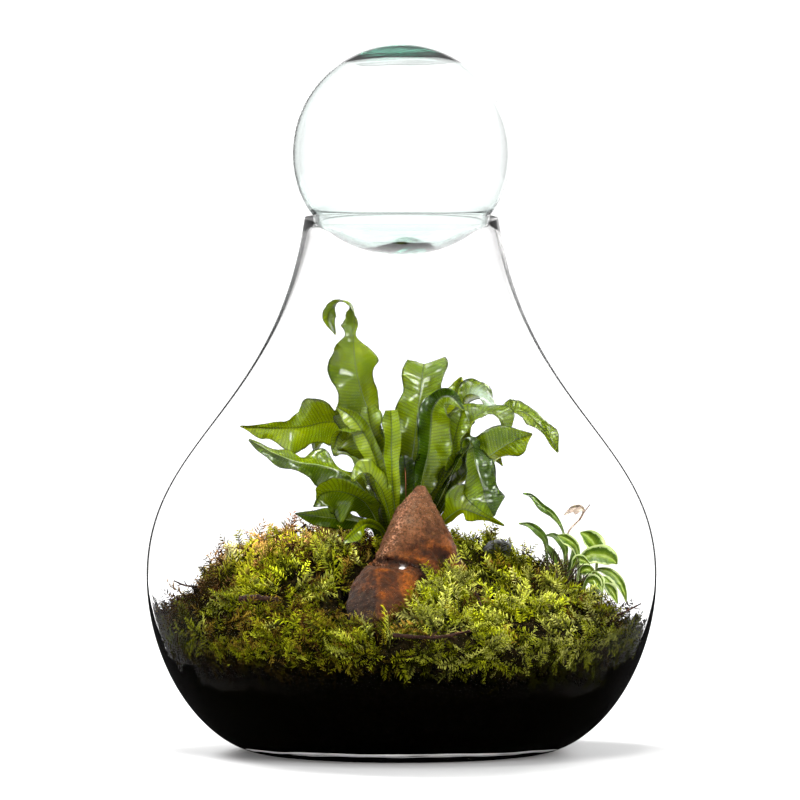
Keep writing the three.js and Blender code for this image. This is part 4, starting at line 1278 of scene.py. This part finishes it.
# Lower leaves that only the looks hold, each part of the piece it is listed under
LOW_LEAVES = {
    "slender_c": [
        [(96, -10, 95, 0.6), (93, -12, 109, 1.6), (88.5, -13, 117, 2.6, 2.2), (85, -13, 122.5, 0.4)],
        [(97, -12, 96, 0.6), (99, -15, 107, 2.2, 2.0), (101, -16, 113, 2.6, 2.4), (100, -16, 120, 0.4)],
    ],
    "striped_a": [
        [(97, -15, 98, 0.6), (100, -20, 109, 1.0), (104, -23, 113.5, 3.6, 3.2), (110, -24, 111, 0.4)],
        [(102, -16, 94, 0.6), (104, -20, 105, 1.0), (108, -22, 108, 3.6, 3.4), (114, -23, 105, 0.4)],
    ],
    "striped_e": [
        [(106, -20, 92, 0.6), (108, -25, 101, 1.2, 1.0), (112, -28, 101.5, 3.8, 3.4), (117, -29, 94, 0.4)],
        [(112, -20, 88, 0.6), (117, -24, 98, 1.2, 1.0), (122, -26, 96, 3.4, 3.0), (126, -27, 87, 0.4)],
    ],
}
DRY_STALK = [[105, 8, 136], [108, 8, 140.5], [111.5, 8, 145]]


LEAST_HALF = 0.4  # half the width of a leaf at its narrowest
PLEAT = 0.14  # how far a blade rises and falls between its side veins
RIB_SIDES = 7


def turned_about(v, axis, angle):
    c, s = np.cos(angle)[:, None], np.sin(angle)[:, None]
    return v * c + np.cross(axis, v) * s + axis * np.sum(axis * v, axis=1, keepdims=True) * (1 - c)


def leaf_lines(spec, t, lean):
    """Along a leaf at t: its rib, half widths, and the ways its left side and its front point."""
    rib = Spline(spec["stations"][:, :3])
    form = Spline(spec["stations"][:, 3:]).at(t)
    along = rib.tangent(t)
    across = unit(np.cross(along, unit(np.array(spec["depth"], float))))
    front = np.cross(along, across)
    turn = -np.radians(form[:, 2] + lean)
    side = turned_about(across, along, turn)
    front = turned_about(front, along, turn)
    half = np.maximum(form[:, :2], LEAST_HALF) / math.cos(math.radians(lean))
    return rib.at(t), half[:, 0], half[:, 1], side, front


def make_blade(spec, row_step, columns, thick, frill, rib_r, seed, lean=0.0):
    """A leaf as a thin closed blade with a raised midrib; frill is how far its margin waves."""
    draw = np.random.default_rng(seed)
    fine = Spline(spec["stations"][:, :3]).at(np.linspace(0, 1, 400))
    length = np.sum(np.linalg.norm(np.diff(fine, axis=0), axis=1))
    rows = max(int(length / row_step), 12)
    t = np.linspace(0, 1, rows)
    rib, left, right, side, front = leaf_lines(spec, t, lean)
    s_row = np.concatenate([[0], np.cumsum(np.linalg.norm(np.diff(rib, axis=0), axis=1))])
    s = s_row[:, None]
    v = np.linspace(1, -1, columns)[None]
    half = np.where(v > 0, left[:, None], right[:, None])
    broad = clamp(half / 5)
    away = np.abs(v)
    phase = TAU * spec["waves"] * t[:, None] + spec["shift"] + np.where(v > 0, 2.3, 0)
    lift = away * half * (FOLD * spec["fold"] + RIPPLE * away * spec["ripple"] * np.sin(phase))
    wave = draw.uniform(20, 28, 2)
    start = draw.uniform(0, TAU, 4)
    margin = np.where(
        v > 0,
        np.sin(TAU * s / wave[0] + start[0] + 0.8 * np.sin(s / 17 + start[2])),
        np.sin(TAU * s / wave[1] + start[1] + 0.8 * np.sin(s / 19 + start[3])),
    )
    lift = lift + frill * margin * away ** 2.2 * np.clip(half / 8, 0, 1.2)
    veins = np.sin(TAU * (s - away * half * 0.4) / (2 * VEIN_STEP))
    lift = lift + PLEAT * veins * np.minimum(away * 3, 1) * broad
    notch = np.sin(TAU * s / 24 + start[0] + np.where(v > 0, 2.0, 0)) * away ** 3
    edge = half * (1 + 0.10 * notch)
    grid = rib[:, None] + side[:, None] * (v * edge)[..., None] + front[:, None] * lift[..., None]
    flat = grid.reshape(-1, 3)
    blister = lumps(flat, 12.0, 1, shift=seed * 0.37) * 2.4 + lumps(flat, 5.5, 1, shift=seed * 0.21) * 0.9
    blister = blister.reshape(rows, columns) * broad * np.minimum(away * 2.5, 1)
    grid = grid + front[:, None] * blister[..., None]
    normal = unit(np.cross(-np.gradient(grid, axis=1), np.gradient(grid, axis=0)))
    thin = (thick * (1 - 0.45 * away ** 4))[..., None] / 2
    top = (grid + normal * thin).reshape(-1, 3)
    low = (grid - normal * thin).reshape(-1, 3)
    parts = Parts()
    parts.add(
        np.vstack([top, low]), [f[:, ::-1] for f in sheet_faces(rows, columns)],
        along=np.tile(np.repeat(s_row, columns), 2),
        across=np.tile((v * half).ravel(), 2),
        margin=np.tile(away[0], 2 * rows),
        grown=np.tile(np.repeat(t, columns), 2),
    )
    t = np.linspace(0, 0.985, max(rows // 2, 8))
    path, _, _, _, front = leaf_lines(spec, t, lean)
    radii = rib_r * (1 - 0.8 * t ** 0.8) + 0.12
    points, faces = tube_mesh(path - front * radii[:, None] * 0.35, radii, RIB_SIDES)
    parts.add(points, faces, kind=1, grown=np.concatenate([np.repeat(t, RIB_SIDES), [0, 1]]))
    return parts


# A painted sheen: a pale grey-green patch painted on the top of the fern's right side, standing in for a
# reflection of light
SHEEN_AT = np.array([49.0, 0.0, 208.0])
SHEEN_SIZE = np.array([13.0, 16.0, 12.0])


def make_fronds(materials):
    for k, (name, spec) in enumerate(FRONDS.items()):
        parts = make_blade(spec, ROW_STEP, 17, BLADE_T, 1.25 * spec["frill"], 0.5, 300 + k, spec["lean"])
        for j, curl in enumerate(spec["curls"]):
            seed = 400 + 10 * k + j
            parts.take(make_blade(curl, ROW_STEP, 15, BLADE_T, 3.0, 0.5, seed, 20 - 40 * (j % 2)))
        # painted shade: one half of each blade is painted darker, where its fold turns from the light
        left_half = clamp(0.5 + parts.all_of("across") / 1.5)
        left_painted_shade, right_painted_shade = spec["halves"]
        shade = spec["shade"] + left_painted_shade * left_half + right_painted_shade * (1 - left_half)
        # painted sheen near the top of the fern's right side
        off = np.linalg.norm((np.concatenate(parts.points) - SHEEN_AT) / SHEEN_SIZE, axis=1)
        parts.values.update(shade=[clamp(shade)], film=[0.85 * clamp(1.6 - 1.6 * off)])
        piece("fern_" + name, parts, materials, ["frond_" + name])


def small_slot(name):
    if name.startswith("dry"):
        return "dry_leaf"
    return "striped_leaf" if name.startswith("striped") else "slender_leaf"


def make_small_leaves(by_slot):
    bend = (0.25, 0.1, 1.5, 0)
    for k, (name, stations) in enumerate(SMALL_LEAVES.items()):
        parts = make_blade(leaf(*bend, *stations), 0.7, 13, 0.3, 0.25, 0.6, 500 + k)
        for j, low in enumerate(LOW_LEAVES.get(name, [])):
            parts.take(make_blade(leaf(*bend, *low), 1.0, 11, 0.3, 0.3, 0.5, 540 + 10 * k + j))
        if name == "dry_sprig":
            parts.add(*tube_mesh(DRY_STALK, [0.45, 0.5, 0.3], 6), kind=1, grown=0.2)
        slot = small_slot(name)
        piece("plant_" + name, parts, by_slot[slot], ["leaf_" + name])


def make_tangle(material):
    """Dark roots and old stems at the foot of the small plants."""
    parts = Parts()
    t = np.linspace(0, 1, 8)[:, None]
    for _ in range(52):
        x = np.clip(rng.normal(95, 7.5), 82, 110)  # within the place that height_cap keeps low
        y = rng.uniform(-30, -4)
        foot = np.array([x, y, float(height_cap(x, y)) - 8])
        lean = np.array([rng.normal(0, 0.6), rng.normal(-0.1, 0.3), 1.0])
        length = rng.uniform(11, 30) * (1 - 0.35 * abs(x - 93) / 15)
        bow = np.array([rng.normal(0, 5), rng.normal(0, 2), rng.normal(-2, 2)])
        radii = rng.uniform(0.3, 0.85) * (1 - 0.6 * t[:, 0])
        parts.add(*tube_mesh(foot + unit(lean) * t * length + bow * t ** 2, radii, 5))
    piece("plant_tangle", parts, [material])


# Twigs

TWIGS = {  # radius and path
    "twig_left_top": (0.9, (-72, -6, 125), (-64, -12, 128), (-56, -16, 134)),
    "twig_left_edge": (0.8, (-120, -12, 97), (-126, -16, 98), (-133, -20, 101)),
    "twig_front": (1.2, (-5, -133, 75.5), (18, -136, 74.5), (38, -131, 77.5)),
    "twig_slope": (0.9, (40, -88, 99.5), (43, -97, 95.5), (45, -106, 89)),
    "twig_right": (0.8, (121, -40, 79.5), (131, -41, 84), (138.5, -39, 88.5)),
    "bark": (2.4, (-92, -74, 93), (-82, -80, 93.5), (-70, -84, 93)),
}


def make_twigs(material):
    for name, (radius, *points) in TWIGS.items():
        line = Spline(points)
        t = np.linspace(0, 1, 34)
        path = line.at(t)
        wander = together(*[lumps(path, 7.0, 2, shift=k) for k in (1.0, 2.0, 3.0)])
        parts = Parts()
        radii = radius * (1.0 - 0.45 * t) * (1 + 0.12 * np.sin(t * 40))
        parts.add(*tube_mesh(path + wander * 0.35 * radius, radii, 10))
        if name != "bark":
            for at, turn in ((0.45, 1.0), (0.7, -1.0)):
                way = unit(line.tangent(at)[0] + np.array([0.1, -0.2, 0.8 * turn]))
                branch = line.at(at)[0] + way * np.linspace(0, 5.0, 8)[:, None] * radius
                branch[:, 2] += np.linspace(0, 1, 8) ** 2 * 0.8
                parts.add(*tube_mesh(branch, np.linspace(0.5, 0.2, 8) * radius, 6))
        mesh = parts.mesh("wood_" + name)
        points, normals = vertex_arrays(mesh)
        raised(mesh, points, normals, lumps(points, 1.6, 2) * 0.12 * radius)
        piece("wood_" + name, mesh, [material], [name])


# Materials

def mottled(name, size, stops, roughness, specular, depth, bumps=None, detail=4, rough=0.55):
    """A material mottled at size; bumps is the size of its unevenness where that is another one."""
    made, tree = shader(name)
    mottle = fine_noise(tree, size, detail, rough)
    height = fine_noise(tree, bumps, 4) if bumps else mottle
    finish_plain(tree, ramp(tree, mottle, *stops), roughness, specular, bump(tree, height, depth))
    return made


def glint_material():
    made, tree = shader("painted glint")
    # a pale grey that stands in for a glint of light
    finish_plain(tree, grey(0.9), 0.15)
    return made


def moss_material():
    made, tree = shader("feather moss")
    fresh = ramp(
        tree, value_of(tree, "tone"), (0.0, (100, 62, 26)), (0.22, (160, 130, 44)), (0.45, (146, 151, 12)),
        (0.7, (188, 197, 30)), (1.0, (234, 234, 118)),
    )
    # painted shade: darker towards each shoot's base and for shoots that lie deep
    depth = ramp(tree, value_of(tree, "tip"), (0.0, 0.004), (0.42, 0.03), (0.7, 0.34), (1.0, 1.3))
    glow = ramp(tree, value_of(tree, "sun"), (0.0, 0.8), (0.4, 1.2), (1.0, (2.6, 2.35, 7.0, 1.0)))
    colour = multiplied(tree, multiplied(tree, fresh, depth), glow)
    finish_plain(tree, colour, 0.6, 0.0, through=0.38)
    return made


def rock_material():
    made, tree = shader("rust rock")
    mottle = fine_noise(tree, 9.0, 4, 0.6)
    speck = fine_noise(tree, 1.6, 4, 0.75)
    upper = ramp(tree, mottle, (0.3, (44, 26, 12)), (0.5, (74, 45, 24)), (0.7, (70, 53, 38)))
    rust = ramp(tree, mottle, (0.3, (17, 6, 0)), (0.5, (48, 20, 0)), (0.7, (98, 48, 0)))
    wavy = math_node(tree, "ADD", value_of(tree, "height"), times(tree, mottle, 0.28))
    colour = blend_colour(tree, ramp(tree, wavy, (0.62, 0.0), (0.84, 1.0)), rust, upper)
    # painted shade: faces turned to the left, below the upper face, are painted towards these dark colours
    shade = ramp(tree, speck, (0.34, (8, 4, 2)), (0.5, (17, 9, 4)), (0.66, (46, 29, 15)))
    side = times(tree, value_of(tree, "left"), ramp(tree, wavy, (0.45, 1.0), (0.66, 0.0)))
    colour = blend_colour(tree, times(tree, side, 0.9), colour, shade)
    colour = multiplied(tree, colour, ramp(tree, speck, (0.34, 0.1), (0.46, 0.6), (0.6, 1.15)), 0.85)
    pale = ramp(tree, fine_noise(tree, 1.3), (0.5, 0.0), (0.66, 1.0))
    colour = blend_colour(tree, times(tree, value_of(tree, "ridge"), pale), colour, linear(128, 94, 72))
    # painted shade in the rock's cleft and hollow
    colour = blend_colour(tree, value_of(tree, "cleft"), colour, linear(12, 8, 6))
    # a painted glint: a small white fleck
    colour = blend_colour(tree, value_of(tree, "chip"), colour, linear(250, 250, 248))
    rough = bump(tree, math_node(tree, "ADD", speck, times(tree, mottle, 2.0)), 0.7)
    finish_plain(tree, colour, 0.8, 0.1, rough)
    return made


WAX_IOR = 1.45


def leaf_material(name, colour_of, roughness, through):
    """A waxy leaf that lets some light through; colour_of makes its colour."""
    made, tree = shader(name)
    finish_plain(tree, colour_of(tree), roughness, through=through, ior=WAX_IOR)
    return made


def fern_material():
    """Waxy green between darker veins, rib and margin; the light through it is yellower."""
    made, tree = shader("fern blade")
    off = math_node(tree, "ABSOLUTE", value_of(tree, "across"))
    slant = math_node(tree, "SUBTRACT", value_of(tree, "along"), times(tree, off, 0.35))
    wobble = times(tree, fine_noise(tree, 9.0, 2), 1.2)
    turn = times(tree, math_node(tree, "ADD", slant, wobble), TAU / VEIN_STEP)
    wave = math_node(tree, "MULTIPLY_ADD", math_node(tree, "SINE", turn), 0.5, 0.5)
    vein = ramp(tree, wave, (0.0, 0.0), (0.62, 0.15), (1.0, 1.0))
    veined = math_node(tree, "SUBTRACT", 1.0, times(tree, vein, 0.4))
    rib = ramp(tree, math_node(tree, "DIVIDE", off, 4.0), (0.02, 0.35), (0.2, 1.0))
    rim = ramp(tree, value_of(tree, "margin"), (0.90, 1.0), (0.985, 0.35))
    # painted shade: darker towards the frond's base, deep among the other fronds
    painted_base_shade = ramp(tree, value_of(tree, "grown"), (0.1, 0.3), (0.38, 1.0))
    marks = multiplied(tree, multiplied(tree, multiplied(tree, rib, rim), painted_base_shade), veined)
    mottle = fine_noise(tree, 16.0)
    # painted sheen: a patchy pale grey-green painted over the top of the fern's right side
    sheen_patches = ramp(tree, fine_noise(tree, 7.0), (0.38, 0.25), (0.6, 1.0))
    film = times(tree, value_of(tree, "film"), sheen_patches)

    def tinted(bright, bright_end, deep, deep_end, filmed):
        bright = ramp(tree, mottle, (0.3, bright), (0.7, bright_end))
        deep = ramp(tree, mottle, (0.3, deep), (0.7, deep_end))
        plain = multiplied(tree, blend_colour(tree, value_of(tree, "shade"), bright, deep), marks)
        return blend_colour(tree, film, plain, linear(*filmed))

    colour = tinted((84, 104, 0), (112, 128, 2), (24, 42, 0), (42, 66, 0), (160, 174, 160))
    glow = tinted((162, 174, 0), (204, 206, 0), (60, 84, 0), (98, 120, 0), (140, 152, 126))
    finish_plain(tree, colour, 0.2, 0.65, through=0.42, glow=glow, ior=WAX_IOR)
    return made


def rib_material(name, dark, pale):
    made, tree = shader(name)
    colour = ramp(tree, value_of(tree, "grown"), (0.0, dark), (0.35, pale), (1.0, pale))
    warm = ramp(tree, value_of(tree, "shade"), (0.97, 0.0), (0.995, 1.0))
    finish_plain(tree, blend_colour(tree, warm, colour, linear(176, 100, 36)), 0.4)
    return made


def slender_colour(tree):
    return ramp(tree, fine_noise(tree, 4.0), (0.3, (34, 56, 8)), (0.7, (72, 96, 16)))


def striped_colour(tree):
    wave = math_node(tree, "ADD", value_of(tree, "margin"), times(tree, fine_noise(tree, 2.5), 0.5))
    return ramp(
        tree, wave, (0.22, (150, 164, 78)), (0.42, (100, 120, 26)), (0.78, (54, 78, 14)),
        (1.08, (68, 90, 24)), (1.28, (158, 170, 112)),
    )


def dry_colour(tree):
    return ramp(tree, fine_noise(tree, 2.0), (0.3, (122, 106, 92)), (0.7, (160, 146, 130)))


# Stage, light and camera

CEILING_FROM = 0.5  # sine of the height above the horizon where the bright ceiling starts
CEILING = 0.9
BACK_CARD = 1.35
BACK_CARD_LEFT = 0.20  # sine of the angle that the card behind the jar spans to either side
BACK_CARD_RIGHT = 0.46
SIDE_CARD = 1.0
SIDE_CARD_LEFT = 0.5
CARD_EDGE = 0.04  # how softly the card's left and right edges fade, to either side
WALL_BACK = 0.4
WALL_FRONT = 0.08
FLOOR_GREY = 0.5
FLOOR_R = 2600
FLOOR_Z = -0.4  # just under the jar's foot
LAMPS = {  # direction to each lamp, its strength, and its width in degrees
    "box_right": ((0.42, -0.85, 0.50), 3.2, 20),
    "box_left": ((-0.50, -0.80, 0.40), 2.0, 16),
    "box_high": ((-0.05, -0.50, 1.00), 1.4, 14),
    "lamp_back_left": ((-0.50, 0.45, 0.75), 5.0, 20),
    "lamp_back_right": ((0.45, 0.75, 0.50), 3.6, 22),
}


def make_stage():
    points, faces = lathe([[0, -2], [FLOOR_R, -2], [FLOOR_R, FLOOR_Z], [0, FLOOR_Z]], 96)
    mesh = new_mesh("floor", points, faces)
    made, tree = shader("pale floor")
    pale = node(tree, "BsdfDiffuse", {"Color": grey(FLOOR_GREY)})
    dim = node(tree, "BsdfDiffuse", {"Color": grey(FLOOR_GREY * 0.15)})
    rays = node(tree, "LightPath").outputs
    straight = math_node(tree, "SUBTRACT", 1.0, rays["Is Transmission Ray"])
    mirrored = times(tree, rays["Is Glossy Ray"], straight)
    mixed = node(tree, "MixShader", {0: mirrored, 1: pale.outputs[0], 2: dim.outputs[0]})
    finish_shader(tree, mixed.outputs[0])
    mesh.materials.append(made)
    floor = bpy.data.objects.new("floor", mesh)
    bpy.context.scene.collection.objects.link(floor)


def make_light():
    """A photographer's room: white cards behind and beside the jar, a bright ceiling, darker walls.

    x, y and z are those of the direction looked in, each -1 to 1.
    """
    world = bpy.data.worlds.new("white room")
    bpy.context.scene.world = world
    world.use_nodes = True
    tree = world.node_tree
    tree.nodes.clear()
    way = node(tree, "SeparateXYZ", {0: node(tree, "TexCoord").outputs["Generated"]}).outputs
    x, y, z = way[0], way[1], way[2]

    def fade(value, low, high):
        """0 where value is at low, 1 where it is at high."""
        made = node(tree, "MapRange", {
            "Value": value, "From Min": low, "From Max": high, "To Min": 0.0, "To Max": 1.0,
        }, interpolation_type="SMOOTHSTEP")
        return made.outputs[0]

    wide = times(
        tree, fade(x, -BACK_CARD_LEFT - CARD_EDGE, -BACK_CARD_LEFT + CARD_EDGE),
        fade(x, BACK_CARD_RIGHT + CARD_EDGE, BACK_CARD_RIGHT - CARD_EDGE),
    )
    behind = times(tree, times(tree, wide, fade(y, 0.0, 0.2)), fade(z, 0.44, 0.34))
    beside = times(tree, fade(math_node(tree, "ABSOLUTE", y), 0.19, 0.12), fade(z, 0.2, 0.1))
    ceiling = fade(z, CEILING_FROM, CEILING_FROM + 0.25)
    light = math_node(tree, "MULTIPLY_ADD", fade(y, -0.3, 0.5), WALL_BACK - WALL_FRONT, WALL_FRONT)
    card = math_node(tree, "MULTIPLY_ADD", fade(x, -0.1, 0.1), SIDE_CARD - SIDE_CARD_LEFT, SIDE_CARD_LEFT)
    for share, level in ((beside, card), (behind, BACK_CARD), (ceiling, CEILING)):
        light = node(tree, "Mix", {0: share, 2: light, 3: level}, data_type="FLOAT").outputs[0]
    background = node(tree, "Background", {"Color": grey(1.0), "Strength": light})
    node(tree, "OutputWorld", {"Surface": background.outputs[0]})
    for name, (direction, strength, width) in LAMPS.items():
        data = bpy.data.lights.new(name, "SUN")
        data.energy = strength
        data.angle = math.radians(width)
        data.cycles.use_multiple_importance_sampling = False  # the clear glass shows no lamp discs
        lamp = bpy.data.objects.new(name, data)
        lamp.rotation_euler = Vector(direction).to_track_quat("Z", "Y").to_euler()
        bpy.context.scene.collection.objects.link(lamp)


CAMERA_AT = (-0.0009, -2.5, 0.2069)
LENS = 190.9
SENSOR = 36


def make_camera():
    data = bpy.data.cameras.new("camera")
    data.lens = LENS
    data.sensor_width = SENSOR
    data.clip_end = 50
    camera = bpy.data.objects.new("camera", data)
    camera.location = CAMERA_AT
    camera.rotation_euler = (math.radians(90), 0, 0)
    bpy.context.scene.collection.objects.link(camera)
    bpy.context.scene.camera = camera


def main():
    bpy.context.scene.view_settings.view_transform = "Standard"
    make_camera()
    make_stage()
    make_light()
    clear = ((0.42, 0.38, 0.36, 1), 16)
    make_jar([glass("jar glass", *clear), glass("ground rim", *clear, roughness=0.1, sheer=0.85)])
    make_ball(glass("ball glass", (0.24, 0.64, 0.53, 1), 55))
    black = [(0.4, (1, 1, 0)), (0.66, (4, 3, 2)), (0.8, (26, 17, 12))]
    make_soil(mottled("black potting soil", 1.6, black, 0.9, 0.0, 0.15, bumps=1.2))
    make_glint_rings(glint_material())
    brown = [(0.3, (5, 4, 2)), (0.5, (12, 9, 4)), (0.62, (26, 21, 8)), (0.8, (48, 36, 16))]
    bed = mottled("moss bed", 2.2, brown, 0.9, 0.0, 0.9, bumps=1.4, detail=5, rough=0.7)
    moss = [moss_material(), bed]
    for name, (a0, a1) in CUSHIONS.items():
        make_moss(name, a0, a1, moss)
    make_rock(rock_material())
    slate = [(0.35, (9, 10, 9)), (0.65, (27, 28, 25))]
    make_stone(mottled("dark stone", 3.0, slate, 0.7, 0.2, 0.5, detail=5))
    root = mottled("fern root", 1.5, [(0.35, (14, 9, 6)), (0.7, (48, 34, 22))], 0.8, 0.05, 0.3)
    make_root_ball(root)
    make_fronds([fern_material(), rib_material("fern rib", (36, 34, 10), (84, 100, 20))])
    stem = rib_material("stem", (30, 22, 14), (92, 108, 46))
    dry_stem = rib_material("dry stem", (50, 34, 22), (96, 70, 50))
    make_tangle(root)
    make_small_leaves({
        "slender_leaf": [leaf_material("slender leaf", slender_colour, 0.3, 0.35), stem],
        "striped_leaf": [leaf_material("striped leaf", striped_colour, 0.25, 0.35), stem],
        "dry_leaf": [leaf_material("dry leaf", dry_colour, 0.6, 0.2), dry_stem],
    })
    make_twigs(mottled("twig bark", 1.2, [(0.35, (12, 6, 4)), (0.7, (46, 27, 19))], 0.8, 0.05, 0.3))


main()
